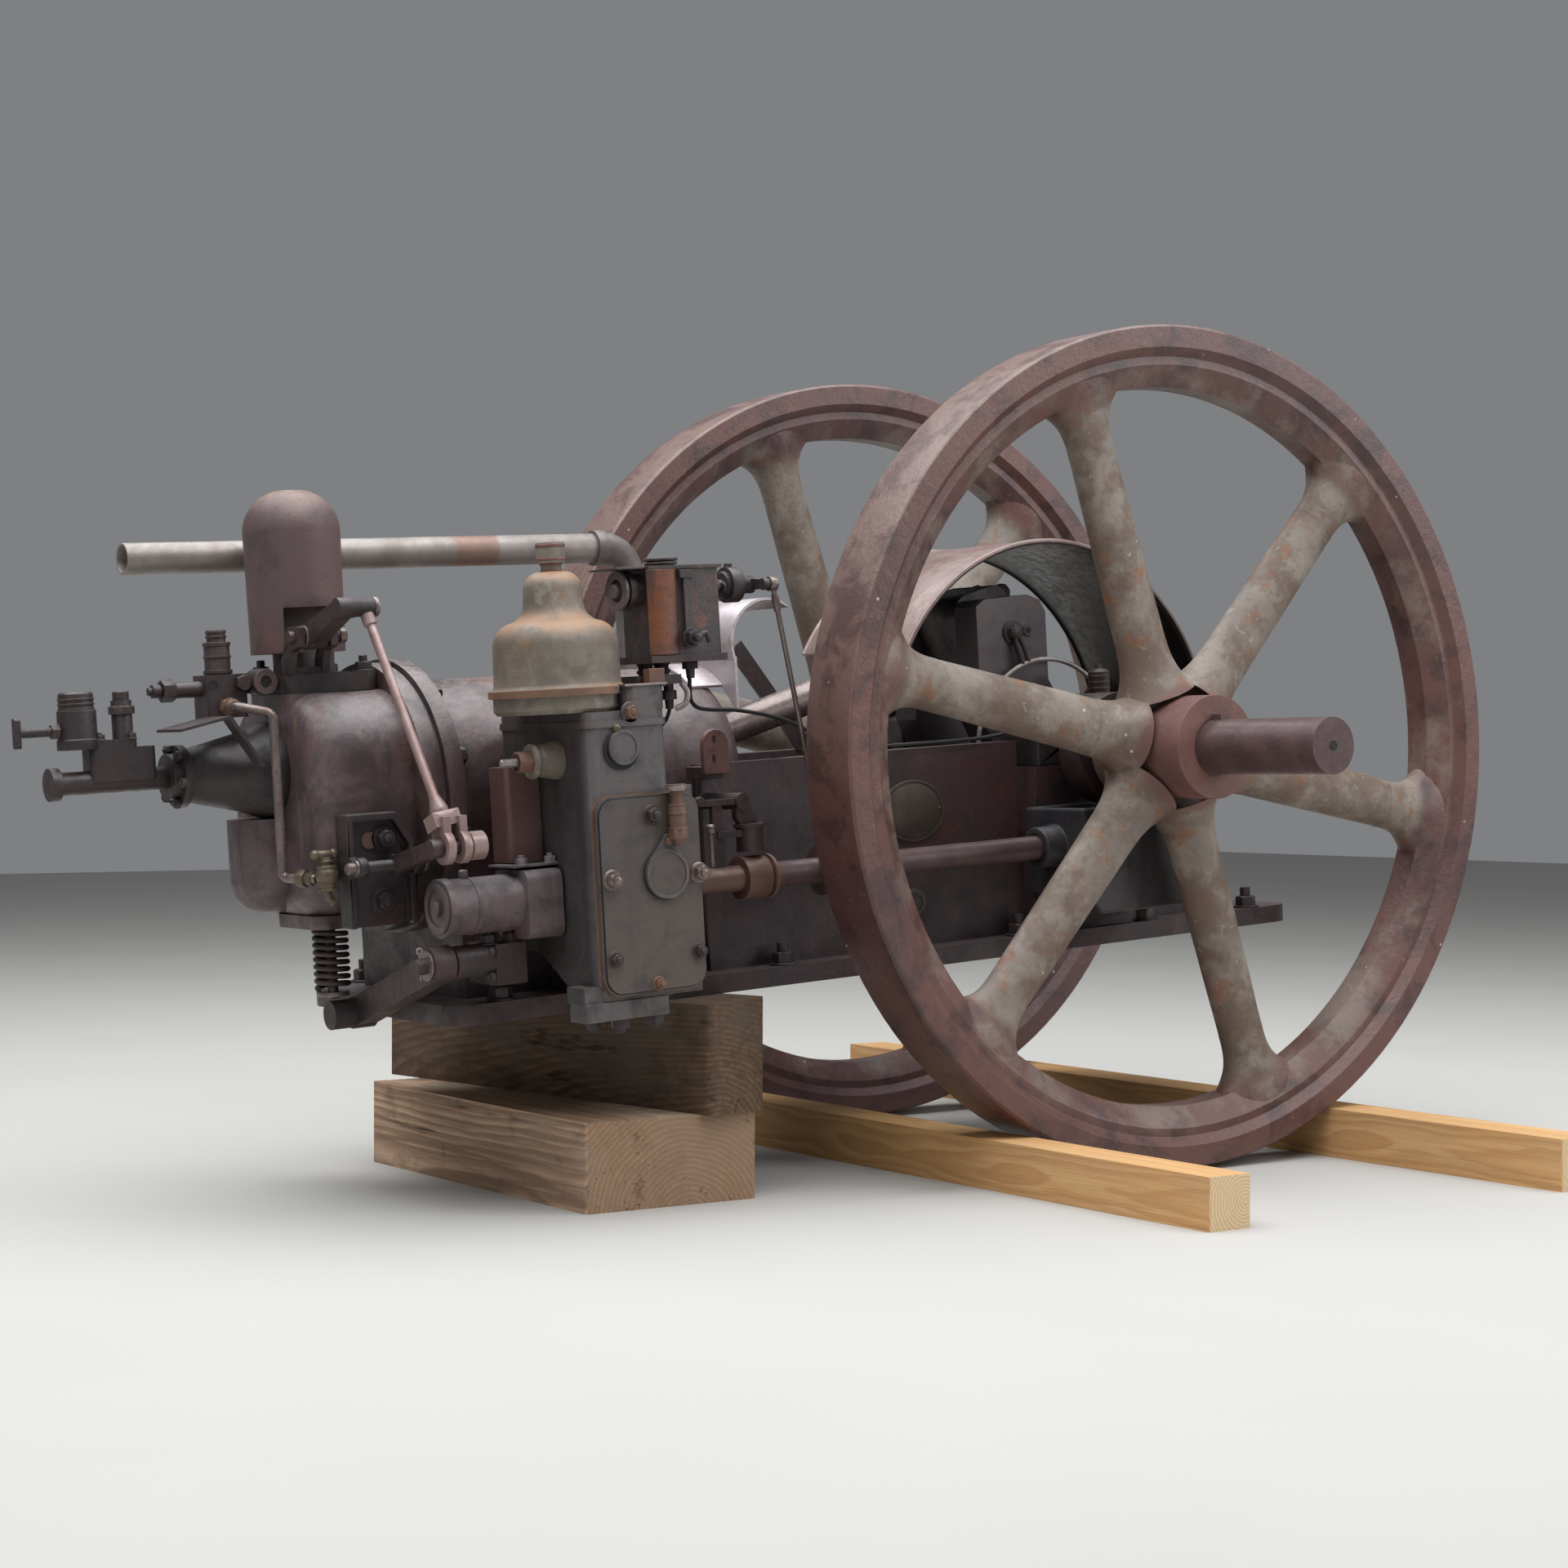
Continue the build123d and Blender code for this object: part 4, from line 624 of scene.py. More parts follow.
b = Build()
for sign in (-1, 1):
    o = CRANK + Vector((0, sign * 439, 0)) * mm
    for i in range(6):
        ang = math.radians(-19.2 + 60 * i)
        d = Vector((math.sin(ang), 0, math.cos(ang)))
        t = Vector((math.cos(ang), 0, -math.sin(ang)))
        # flare into the rim
        rings = []
        for k in range(11):
            q = k / 10
            g = 0.034 * q ** 3.2
            sx, sy = spoke_size(0.500 + 0.088 * q)
            ring = []
            for j in range(44):
                a = 2 * math.pi * j / 44
                w = (sx + g * 1.2 + 0.0004) * math.cos(a)
                h = (sy + min(g * 0.55, 0.014) + 0.0004) * math.sin(a)
                # the last ring follows the inner profile of the rim
                r = 0.500 + (0.092 + max(0.0, abs(h) - 0.022) * 1.5) * q
                bend = math.sqrt(r * r - w * w)
                ring.append(o + d * (bend if q > 0.3 else r + (bend - r) * q / 0.3) + t * w + Vector((0, h, 0)))
            rings.append(ring)
        b.rings(rings, cap=False)
        # flare into the hub
        rings = []
        for k in range(11):
            q = k / 10
            r = 0.175 - 0.085 * q
            g = 0.030 * q ** 2.4
            sx, sy = spoke_size(r)
            ring = []
            for j in range(44):
                a = 2 * math.pi * j / 44
                w = (sx + g * 0.75 + 0.0004) * math.cos(a)
                h = (sy + g * 1.0 + 0.0004) * math.sin(a)
                ring.append(o + d * r + t * w + Vector((0, h, 0)))
            rings.append(ring)
        b.rings(rings, cap=False)
b.make("spoke_flares", "wheel", "crank_group")

# ---- fittings: one mesh per material ----------------------------------------------
G = {k: Build() for k in ("dark", "steel", "orange", "pale", "brass", "black", "housing", "bell", "head", "bed", "redbr", "drum", "luborange", "lub", "gasket", "collar", "hood", "plate")}
NE, LF, DN = -YE, -XE, -ZE


def ball(b, o, r, n=20):
    b.lathe([(r * -math.cos(math.pi * k / n), r * math.sin(math.pi * k / n)) for k in range(n + 1)], o, ZE, 24)


def arc(b, cx, y, cz, r, a0, a1, tr, n=48, m=10):
    """Round bar bent on an arc in the engine's X-Z plane."""
    pts = [E(cx + r * math.cos(math.radians(a0 + (a1 - a0) * k / n)), y, cz + r * math.sin(math.radians(a0 + (a1 - a0) * k / n))) for k in range(n + 1)]
    b.tube(pts, tr * mm, m)


def flat_ring(b, o, axis, r0, r1, h, n=48):
    """Washer-shaped ring, engine mm."""
    b.lathe([(0, r0 * mm), (0, r1 * mm - 0.0006), (0.0006, r1 * mm), (h * mm - 0.0006, r1 * mm), (h * mm, r1 * mm - 0.0006), (h * mm, r0 * mm), (0, r0 * mm)], o, axis, n, True)


# head: gasket, nuts of the top plate, bracket bolts
G["gasket"].slab(rounded(0.1508, 0.1508, 0.0204), E(-1317, 0, 164.2), XE, YE, 1.6 * mm)
for x, y in ((-1374, -58), (-1260, -58), (-1374, 58), (-1260, 58)):
    G["dark"].nut(E(x, y, 193), ZE, 0.014, rng.random(), stud=0.7)
for x, z in ((-1307, -54), (-1313, -145)):
    G["dark"].disc(E(x, -184, z), NE, 0.020, 0.003, 32)
    G["dark"].nut(E(x, -187, z), NE, 0.015, rng.random(), washer=True, stud=0.25)
G["orange"].disc(E(-1330, -184, -55), NE, 0.013, 0.003, 28)
# rear edge of the head flange: nuts of the studs, sunk in the ring's step
for k in range(10):
    a = math.radians(18 + 36 * k)
    G["dark"].nut(E(-1178, 190 * math.cos(a), 190 * math.sin(a)), XE, 0.016, rng.random(), washer=False, stud=0.3)

# valve block: threaded spindle, cap, eye and drilled hole
G["dark"].hexa(E(-1560, 0, 178), XE, 0.030, 0.020, 0.3)
G["dark"].lathe([(0, 0.008), (0.002, 0.010), (0.014, 0.010), (0.014, 0.006), (0.020, 0.006)], E(-1560, 0, 178), LF, 24)
for z, r, h in ((199, 21.5, 6), (222, 20.5, 4), (240, 20.5, 6), (252, 15.5, 4), (259, 15.5, 4)):
    flat_ring(G["dark"], E(-1469, 0, z), ZE, 10, r, h, 40)
# black disc as the drilled hole: painted shade in place of the hole's depth
G["black"].disc(E(-1490, -28.0, 182), NE, 0.0078, 0.0004, 32)
flat_ring(G["head"], E(-1414, -44, 184), NE, 9, 19, 3.0)
# black disc filling the ring's bore: painted shade
G["black"].disc(E(-1414, -44.0, 184), NE, 0.0088, 0.0004, 32)
G["dark"].hexa(E(-1445, -30, 184), NE, 0.022, 0.010, 0.2)
# unions of the fuel pipe
G["orange"].hexa(E(-1470, -29, 150), NE, 0.024, 0.013, 0.1)
G["orange"].lathe([(0.013, 0.0095), (0.017, 0.0115), (0.023, 0.0115), (0.027, 0.0085)], E(-1470, -29, 150), NE, 24)
pd = (T((27.5, -55, -2))).normalized()
G["brass"].hexa(E(-1416.5, -127, -105), pd, 0.024, 0.013, 0.5)
G["brass"].lathe([(0.013, 0.009), (0.018, 0.010), (0.024, 0.010), (0.026, 0.008)], E(-1416.5, -127, -105), pd, 24)
# drain cock: collars, spout and handle
for z, r, h in ((-124, 15.5, 4), (-112, 15.0, 5), (-92, 15.0, 5), (-82, 10.5, 3)):
    flat_ring(G["brass"], E(-1394, -172, z), ZE, 6, r, h, 32)
G["brass"].tube([E(-1394, -172, -122), E(-1392, -173, -134), E(-1386, -176, -143)], 0.0055, 14)
G["brass"].hexa(E(-1394, -172, -103), ZE, 0.030, 0.009, 0.4)
ball(G["brass"], E(-1394, -172, -101), 0.0170)
for x in (-1411, -1382):
    ball(G["brass"], E(x, -172, -70), 0.0072)

# strainer: knurled cap, flange nuts, thumb screw
for z in (157, 164, 171):
    flat_ring(G["dark"], E(-1690, 0, z), ZE, 20, 26.4, 3, 36)
for x, y in ((-1662, -13), (-1662, 13), (-1615, -14), (-1615, 14)):
    G["dark"].nut(E(x, y, 112), ZE, 0.008, rng.random(), stud=0.4)
G["dark"].hexa(E(-1622, 0, 148), ZE, 0.034, 0.012, 0.2)
G["dark"].lathe([(0.012, 0.012), (0.024, 0.012), (0.026, 0.009)], E(-1622, 0, 156), ZE, 24)
for k in range(6):
    a = math.radians(60 * k + 12)
    G["dark"].nut(E(-1547, 41 * math.cos(a), 52 + 41 * math.sin(a)), LF, 0.009, rng.random(), washer=False, stud=0.3)
G["dark"].hexa(E(-1718, 0, 128), LF, 0.020, 0.012, 0.5)

# side-shaft bearing: end ring and plug, thin plate, oiler
flat_ring(G["drum"], E(-1283, -300, -155), LF, 27, 37, 3.0)
G["drum"].lathe([(0, 0.012), (0.006, 0.012), (0.008, 0.010)], E(-1283, -300, -155), LF, 28)
flat_ring(G["drum"], E(-1238, -300, -155), XE, 30, 42.5, 5)
G["drum"].lathe([(0, 0.007), (0.010, 0.007), (0.012, 0.005)], E(-1240, -300, -114), ZE, 20)
G["drum"].box(E(-1126, -296, -104.5), XE, YE, 0.100, 0.074, 0.003)
for x in (-1158, -1110):
    G["drum"].nut(E(x, -326, -101.5), ZE, 0.010, rng.random(), stud=0.4)
# exhaust lever pivot: washer, collar, split pin
flat_ring(G["steel"], E(-1300, -290, -236), LF, 12, 22, 4)
G["dark"].lathe([(0, 0.012), (0.012, 0.012), (0.014, 0.010)], E(-1306, -290, -236), LF, 24)
G["pale"].tube([E(-1312, -290, -216), E(-1312, -290, -256)], 0.0018, 8)
arc(G["pale"], -1312, -290, -214, 4, -60, 240, 1.8, 14, 8)
G["dark"].nut(E(-1200, -292, -214), ZE, 0.014, 0.4, stud=0.6)
G["dark"].nut(E(-1165, -292, -214), ZE, 0.014, 0.9, stud=0.6)
for k, (y, z) in enumerate(((-306, -262), (-306, -226), (-250, -262))):
    G["dark"].nut(E(-1200, y, z), LF, 0.010, 0.3 * k, stud=0.3)

# governor and pump housing
b = G["collar"]
o = [E(-1009 + p[0] * 1000, -429.8, -152 + p[1] * 1000) for p in rounded(0.178, 0.292, 0.030, 10)]
b.rings([o, [p + NE * 0.0022 for p in o]])
b = G["gasket"]
o = [E(-1009 + p[0] * 1000, -439.6, -152 + p[1] * 1000) for p in rounded(0.1685, 0.2825, 0.027, 10)]
b.rings([o, [p + NE * 0.0016 for p in o]])
for x, z, s, k in ((-1004, -38, 0.0125, "dark"), (-1076, -127, 0.0125, "steel"), (-928, -128, 0.0125, "steel"), (-1078, -241, 0.010, "dark"), (-935, -242, 0.010, "dark"), (-1007, -283, 0.009, "orange")):
    G[k].disc(E(x, -442.8, z), NE, s * 1.25, 0.0016, 28)
    G[k].nut(E(x, -444.4, z), NE, s, rng.random() * 2, stud=0.35)
# lid of the small window: rim, ear and its screw
flat_ring(G["gasket"], E(-985, -443, -125), NE, 36.2, 38.4, 2.0)
flat_ring(G["housing"], E(-985, -449, -125), NE, 31, 36.4, 1.2)
b = G["housing"]
big, small = circle(36.5, 64, -985, -125), circle(9, 32, -981, -76)
pts = sorted(big + small)
lower, upper = [], []
for seq, out in ((pts, lower), (pts[::-1], upper)):
    for q in seq:
        while len(out) > 1 and (out[-1][0] - out[-2][0]) * (q[1] - out[-2][1]) - (out[-1][1] - out[-2][1]) * (q[0] - out[-2][0]) <= 0:
            out.pop()
        out.append(q)
o = [E(x, -443, z) for x, z in lower[:-1] + upper[:-1]]
b.rings([o, [p + NE * 0.0046 for p in o], [p + NE * 0.0054 + (E(-985, -443, -115) - p).normalized() * 0.0008 for p in o]])
G["orange"].hexa(E(-981, -448, -78), NE, 0.011, 0.005, 0.3)
# round lid above it, brass screw, rusty bolt
flat_ring(G["gasket"], E(-1042, -430, 59), NE, 25, 29.5, 3.0)
flat_ring(G["housing"], E(-1040, -436, 62), NE, 21, 25.4, 1.4)
G["brass"].lathe([(0.008 * math.sin(math.pi * k / 16), 0.0075 * math.cos(math.pi * k / 16)) for k in range(9)], E(-1048, -431, 90), NE, 24)
G["housing"].disc(E(-1024, -430, 112), NE, 0.0155, 0.003, 32)
G["orange"].nut(E(-1024, -433, 112), NE, 0.0115, 0.3, washer=False, stud=0.15)
# nuts under the foot
for x, y, s in ((-1052, -404, 0.016), (-994, -404, 0.016), (-1098, -404, 0.012)):
    G["dark"].nut(E(x, y, -330), DN, s, rng.random(), stud=0.4)
# side boss with its nut and spindle
G["bell"].lathe([(0, 0.029), (0.008, 0.0275), (0.036, 0.0218), (0.036, 0.0245), (0.0375, 0.0255), (0.042, 0.0255), (0.0435, 0.0245), (0.0435, 0.018)], E(-1100, -342, 48), LF, 44)
G["orange"].hexa(E(-1143.5, -342, 48), LF, 0.0300, 0.0225, 0.2)
G["pale"].lathe([(0, 0.006), (0.030, 0.006), (0.032, 0.004)], E(-1160, -342, 48), LF, 20)
# edge of the bell's seat and of the tall shoulder
b = G["collar"]
rings = []
for k in range(73):
    a = math.radians(62 + (298 - 62) * k / 72)
    rings.append([E(-1083 + r * math.cos(a), -330 + r * math.sin(a), z) for r, z in ((95, 140.5), (102, 140.5), (102, 150.6), (95, 152.5))])
b.rings(rings)
G["housing"].box(E(-994, -301, 148.6), XE, YE, 0.072, 0.262, 0.004, 0.002)
# band that runs under the bell's seat
o = [E(-1030 + p[0] * 1000, -301 + p[1] * 1000, 92) for p in rounded(0.146, 0.264, 0.020, 8)]
G["housing"].rings([o, [p + ZE * 0.010 for p in o]])
# oil cup: cap, barrel collars, hexagon and elbow
G["pale"].lathe([(0, 0.0150), (0.001, 0.0158), (0.006, 0.0158), (0.009, 0.0120)], E(-968, -456, -5), ZE, 32)
for z, r in ((-62, 14), (-40, 13.6), (-28, 13)):
    flat_ring(G["orange"], E(-968, -456, z), ZE, 8, r, 4, 32)
G["orange"].hexa(E(-968, -456, -75), ZE, 0.026, 0.015, 0.4)
G["orange"].lathe([(0, 0.005), (0.002, 0.007), (0.010, 0.0105)], E(-968, -456, -84), ZE, 24)
G["orange"].lathe([(0, 0.0075), (0.020, 0.0075)], E(-968, -442, -68), NE, 20)

# bell: cap edge and knob's grooves
for z, r in ((322, 16.2), (331, 16.2)):
    flat_ring(G["redbr"], E(-1083, -330, z), ZE, 9, r, 3, 32)
for z in (338, 358):
    flat_ring(G["redbr"], E(-1083, -330, z), ZE, 15, 22.2, 4, 36)

# lubricator: lid, filler cap, drum end, rounded corner, rib, unions
G["lub"].box(E(-972, -339, 320.4), XE, YE, 0.058, 0.080, 0.003)
for z, r, h in ((327, 25, 4.0), (332.5, 26, 4.5)):
    G["lub"].disc(E(-900, -339, z), ZE, r * mm, h * mm, 40)
flat_ring(G["lub"], E(-960, -339, 290), LF, 22, 29.5, 10)
flat_ring(G["drum"], E(-975, -339, 290), LF, 17, 30, 5)
G["drum"].lathe([(0, 0.011), (0.009, 0.011), (0.011, 0.009)], E(-975, -339, 290), LF, 28)
b = G["luborange"]
prof = []
for k in range(17):
    a = math.pi * k / 16
    prof.append((-927.5 - 27 * math.cos(a), -380.5 - 9.5 * math.sin(a)))
prof[0] = (-946.8, -378)
prof += [(-900.5, -378), (-946.5, -378)]
b.rings([[E(x, y, 192.5) for x, y in prof], [E(x, y, 318.5) for x, y in prof]])
G["lub"].box(E(-884, -384.5, 203), XE, YE, 0.017, 0.008, 0.112, 0.0)
G["lub"].box(E(-889, -385, 305), XE, YE, 0.021, 0.012, 0.012, 0.0)
G["dark"].box(E(-888, -340, 181), XE, YE, 0.134, 0.096, 0.0105, 0.0)
G["dark"].nut(E(-884, -388, 216), NE, 0.013, 0.2, washer=True, stud=0.8)
G["dark"].tube([E(-880, -402, 216), E(-868, -404, 222), E(-862, -404, 208)], 0.0045, 12, 4)
G["orange"].box(E(-954, -383, 160), XE, ZE, 0.028, 0.027, 0.016, 0.0015)
G["orange"].box(E(-954, -376, 160), XE, ZE, 0.016, 0.016, 0.008, 0.0)
for x in (-934, -906):
    flat_ring(G["dark"], E(x, -335, 166), ZE, 8, 13.5, 5, 32)
    flat_ring(G["dark"], E(x, -335, 178), ZE, 8, 13.0, 4, 32)
for x, z0, z1 in ((-906, 112, 150), (-866, 156, 182)):
    G["dark"].lathe([(0, 0.006), ((z1 - z0) * mm, 0.008)], E(x, -352, z0), ZE, 20)
    G["dark"].hexa(E(x, -352, z0 + 14), ZE, 0.021, 0.014, 0.3)
G["pale"].tube([E(-893, -368, 150), E(-886, -372, 136), E(-890, -372, 120), E(-904, -366, 112)], 0.0045, 12, 5)
G["black"].tube([E(-867, -351, 160), E(-866, -348, 138), E(-856, -336, 120), E(-820, -312, 108), E(-734, -280, 102), E(-640, -258, 84), E(-560, -236, 56), E(-470, -222, 32), E(-350, -214, 28), E(-200, -210, 30), E(-118, -206, 42), E(-96, -200, 62)], 0.0032, 10, 6)
G["black"].tube([E(-904, -350, 114), E(-902, -334, 96), E(-880, -262, 70), E(-876, -220, 20), E(-876, -206, -60)], 0.0030, 10, 6)
G["steel"].hexa(E(-825, -339, 294), XE, 0.024, 0.010, 0.2)
G["steel"].lathe([(0.010, 0.0105), (0.022, 0.0105), (0.024, 0.009)], E(-825, -339, 294), XE, 24)

# trip gear beside the side shaft
G["dark"].slab([(-0.011, -0.104), (0.011, -0.104), (0.009, 0.0), (-0.009, 0.0)], E(-801, -296, -34), XE, ZE, 0.009)
G["dark"].box(E(-796, -298, -36), XE, ZE, 0.072, 0.010, 0.010, 0.0015)
G["dark"].disc(E(-832, -300, -33), NE, 0.008, 0.010, 24)
G["dark"].box(E(-776, -300, -86), XE, ZE, 0.056, 0.011, 0.009, 0.0015)
G["steel"].lathe([(0, 0.004), (0.050, 0.004), (0.052, 0.007), (0.058, 0.007), (0.060, 0.004)], E(-826, -322, -132), ZE, 16)
G["pale"].lathe([(0, 0.0065), (0.003, 0.0065), (0.005, 0.004)], E(-826, -322, -72), ZE, 16)

# bed: oval and round plates, both bare
b = G["plate"]
for k, (dy, f) in enumerate(((0.0, 1.0), (4.0, 0.86))):
    o = [E(-351 + 64 * f * math.cos(t), -200 - dy, -82 + 51 * f * math.sin(t)) for t in [2 * math.pi * j / 64 for j in range(64)]]
    h = 4.0 if k == 0 else 1.4
    b.rings([o, [p + NE * (h - 0.8) * mm for p in o], [p + NE * h * mm + (E(-351, -200, -82) - p).normalized() * 0.0012 for p in o]])
rings = []
for j in range(64):
    a = 2 * math.pi * j / 64
    rings.append([E(-351 + 64 * f * math.cos(a), y, -82 + 51 * f * math.sin(a)) for f, y in ((0.975, -203.6), (0.975, -205.4), (0.925, -205.4), (0.925, -203.6))])
b.rings(rings, cap=False, closed=True)
G["plate"].disc(E(-357, -200, -233), NE, 0.023, 0.005, 40)
flat_ring(G["plate"], E(-357, -205, -233), NE, 14, 20, 2)
for x, z in ((-405, -82), (-297, -82)):
    G["dark"].lathe([(0, 0.004), (0.0015, 0.004), (0.003, 0.002)], E(x, -204, z), NE, 16)
# flange bolts along the bed
for x in (-1150, -880, -640, -400, -160, 120, 360):
    for y in (-226, 226):
        G["dark"].nut(E(x, y, -305), ZE, 0.020, rng.random(), stud=0.8)
# flat bar behind the rod guard
p0, p1 = E(-452, 150, 205), E(-318, 150, 26)
dd = (p1 - p0).normalized()
ww = YE.cross(dd)
G["dark"].rings([[p + ww * s * 0.016 + YE * t for s, t in ((-1, -0.003), (1, -0.003), (1, 0.003), (-1, 0.003))] for p in (p0, p1)])
# main bearings: grease cap on the near one, stud nuts on both
G["dark"].lathe([(0, 0.012), (0.020, 0.012), (0.020, 0.0175), (0.022, 0.0185), (0.056, 0.0185), (0.060, 0.015), (0.062, 0.006), (0.070, 0.005)], E(74, -190, 72), ZE, 36)
for z in (98, 108, 118):
    flat_ring(G["dark"], E(74, -190, z), ZE, 15, 19.3, 4, 36)
for x, y in ((-78, -190), (-78, 206), (78, 206)):
    G["dark"].nut(E(x, y, 76), ZE, 0.022, rng.random(), stud=0.8)
# rolled edges of the hood
for y in (-150, 150):
    arc(G["hood"], 0, y, 0, 357.5, 8, 149, 5.2, 90, 12)
# bolts of the water pipe's foot
for k in range(4):
    a = math.radians(45 + 90 * k)
    G["dark"].nut(E(-677 + 33 * math.cos(a), 118 + 33 * math.sin(a), 149.5), ZE, 0.010, rng.random(), stud=0.5)

for k, b in G.items():
    if b.v:
        b.make("fittings_" + k, {"gasket": "black", "bed": "bed"}.get(k, k), "engine", bevel=0.0006 if k in ("lub", "luborange", "dark") else 0.0)

# arched plate with two slots, in place of the plain one
b = Build()
o = []
for k in range(25):
    a = math.pi * k / 24
    o.append((-769 + 23.5 * math.cos(a), 52 + 23.5 * math.sin(a)))
o += [(-792.5, 6), (-745.5, 6)]
b.rings([[E(x, -252, z) for x, z in o], [E(x, -262, z) for x, z in o]])
b.make("slotted_plate_skin", "redbr", bevel=0.0012, replaces=("slotted_plate",))
b = Build()
b.box(E(-769, -226, -2), XE, YE, 0.036, 0.052, 0.020)
b.make("slotted_plate_foot", "dark", bevel=0.0012)
# two black films on the plate's face as its slots: painted shade in place of the openings
b = Build()
for x, z in ((-772, 60), (-774, 30)):
    o = [E(x + p[0] * 1000, -262.05, z + p[1] * 1000) for p in rounded(0.006, 0.012, 0.0028, 4)]
    b.rings([o, [p + NE * 0.0003 for p in o]])
b.make("slotted_plate_slot_shade", "black")

# exhaust valve spring, coiled
b = Build()
pts = []
turns = 8.5
for k in range(int(turns * 28) + 1):
    a = 2 * math.pi * k / 28
    q = a / (2 * math.pi * turns)
    e = min(1.0, q * turns, (1 - q) * turns)
    pts.append(E(-1322 + 23.6 * math.cos(a), -18 + 23.6 * math.sin(a), -190.4 - 91.6 * q))
b.tube(pts, 0.0042, 10)
b.make("valve_spring_coil", "lever", replaces=("exhaust_valve_spring",))

# push rod: cone above the fork, lock nut
b = Build()
bp, tp = E(-1274, -338, -66), E(-1326, -206, 284)
rv = (tp - bp).normalized()
b.lathe([(0.050, 0.0125), (0.053, 0.0135), (0.060, 0.0135), (0.074, 0.0088), (0.080, 0.0072)], bp, rv, 32)
b.lathe([(-0.030, 0.0072), (-0.028, 0.010), (-0.012, 0.010), (-0.010, 0.0072)], tp, rv, 28)
b.make("push_rod_collars", "rod", "push_rod_group")
# lever's boss, knurled, and its pin
b = Build()
b.lathe([(0, 0.0195), (0.001, 0.0208), (0.023, 0.0208), (0.0245, 0.0190)], E(-1250.4, -338, -66), XE, 48)
b.lathe([(0, 0.0100), (0.003, 0.0100), (0.004, 0.008)], E(-1226, -338, -66), XE, 28)
b.make("lever_boss", "rod", "inlet_lever_group")
b = Build()
for x in (-1372, -1366, -1262):
    flat_ring(b, E(x, -218, -92), XE, 8, 12.5, 4, 32)
b.lathe([(0, 0.009), (0.010, 0.009), (0.012, 0.007)], E(-1372, -218, -92), LF, 24)
b.make("lever_pin_collars", "steel", "inlet_lever_group")
# rocker: bearing cheeks and nut
b = Build()
for x in (-1374, -1343):
    flat_ring(b, E(x, -96, 247), XE, 9, 17, 3, 36)
b.hexa(E(-1316, -96, 247), XE, 0.022, 0.010, 0.3)
b.lathe([(0, 0.0145), (0.003, 0.0155), (0.006, 0.0145)], E(-1313, -206, 284), XE, 30)
b.make("rocker_collars", "steel", "rocker_group")

# lubricator's ratchet housing: stepped face, pawl boss, set screw
b = Build()
b.lathe([(0, 0.0205), (0.004, 0.0205), (0.006, 0.0185)], E(-788, -339, 294), LF, 40)
b.disc(E(-793, -346, 289), LF, 0.010, 0.006, 28)
b.hexa(E(-780, -339, 320.5), ZE, 0.011, 0.006, 0.2)
b.disc(E(-742, -381, 292), XE, 0.0085, 0.006, 24)
b.make("ratchet_details", "dark", "lubricator_lever_group")
b = Build()
b.lathe([(0, 0.0055), (0.014, 0.0065), (0.026, 0.0048)], E(-640, -357, -120) + (E(-729, -381, 292) - E(-640, -357, -120)) * 0.90, (E(-729, -381, 292) - E(-640, -357, -120)), 20)
b.make("lubricator_rod_nut", "steel", "lubricator_rod_group")

# side shaft: thin ring
b = Build()
flat_ring(b, E(-715, -300, -155), XE, 19, 34, 6)
b.make("side_shaft_ring", "orange", "side_shaft_group")

# crank: oil ring, its pipe, fitting and bolt
b = Build()
pts = [E(155 * math.cos(2 * math.pi * k / 96), -135, 155 * math.sin(2 * math.pi * k / 96)) for k in range(96)]
b.tube(pts, 0.0042, 10, closed=True)
b.make("oil_ring", "pale", "crank_group")
b = Build()
ux, uz = -57 / 212, 204 / 212
for s in (-7, 7):
    sx, sz = uz * s, -ux * s
    b.tube([E(ux * 156 + sx, -135, uz * 156 + sz), E(ux * 180 + sx, -134, uz * 180 + sz), E(ux * 204 + sx * 0.7, -130, uz * 204 + sz * 0.7)], 0.0045, 10, 4)
b.disc(E(-57, -122, 204), NE, 0.021, 0.004, 36)
b.hexa(E(-57, -126, 204), NE, 0.024, 0.009, 0.4)
b.disc(E(-24, -121.8, 206), NE, 0.010, 0.003, 28)
b.make("crank_oiler", "dark", "crank_group")
# black discs as the oil hole in the fitting and the centre hole in the shaft end: painted shade
b = Build()
b.disc(E(-24, -124.9, 206), NE, 0.0045, 0.0003, 20)
b.disc(E(0, -817.0, 0), NE, 0.0075, 0.0003, 28)
b.make("crank_hole_shade", "black", "crank_group")
# big end: cap bolts
b = Build()
ang = math.atan2(204, -57 + 831.3)
rx, rz = math.cos(ang), math.sin(ang)
for s in (-1, 1):
    for y in (-34, 34):
        p = (-57 + rx * 60 - rz * 56 * s, 204 + rz * 60 + rx * 56 * s)
        b.nut(E(p[0], y, p[1]), T((rx, 0, rz)), 0.018, rng.random(), washer=False, stud=0.35)
b.make("big_end_nuts", "dark", "crank_group")

# far and near hubs: keys
b = Build()
for y, s in ((-557, -1), (557, 1)):
    b.box(CRANK + Vector((0.0, (y + 6 * s) * mm, 0.041)), Vector((1, 0, 0)), Vector((0, 1, 0)), 0.022, 0.030, 0.011)
b.make("hub_keys", "shaft", "crank_group")

# ---- camera, light, floor --------------------------------------------------------
cam_data = bpy.data.cameras.new("camera")
cam = bpy.data.objects.new("camera", cam_data)
bpy.context.scene.collection.objects.link(cam)
yaw, pitch, roll = math.radians(34.44), math.radians(-0.2), math.radians(0.1)
d = Vector((math.sin(yaw) * math.cos(pitch), math.cos(yaw) * math.cos(pitch), math.sin(pitch)))
r0 = Vector((math.cos(yaw), -math.sin(yaw), 0))
u0 = r0.cross(d)
rr = r0 * math.cos(roll) + u0 * math.sin(roll)
uu = u0 * math.cos(roll) - r0 * math.sin(roll)
m = Matrix((rr, uu, -d)).transposed().to_4x4()
m.translation = CRANK + Vector((-3.189, -3.975, -0.045))
cam.matrix_world = m
cam_data.sensor_width = 36
cam_data.lens = 3513 * 36 / 1920
cam_data.clip_end = 60
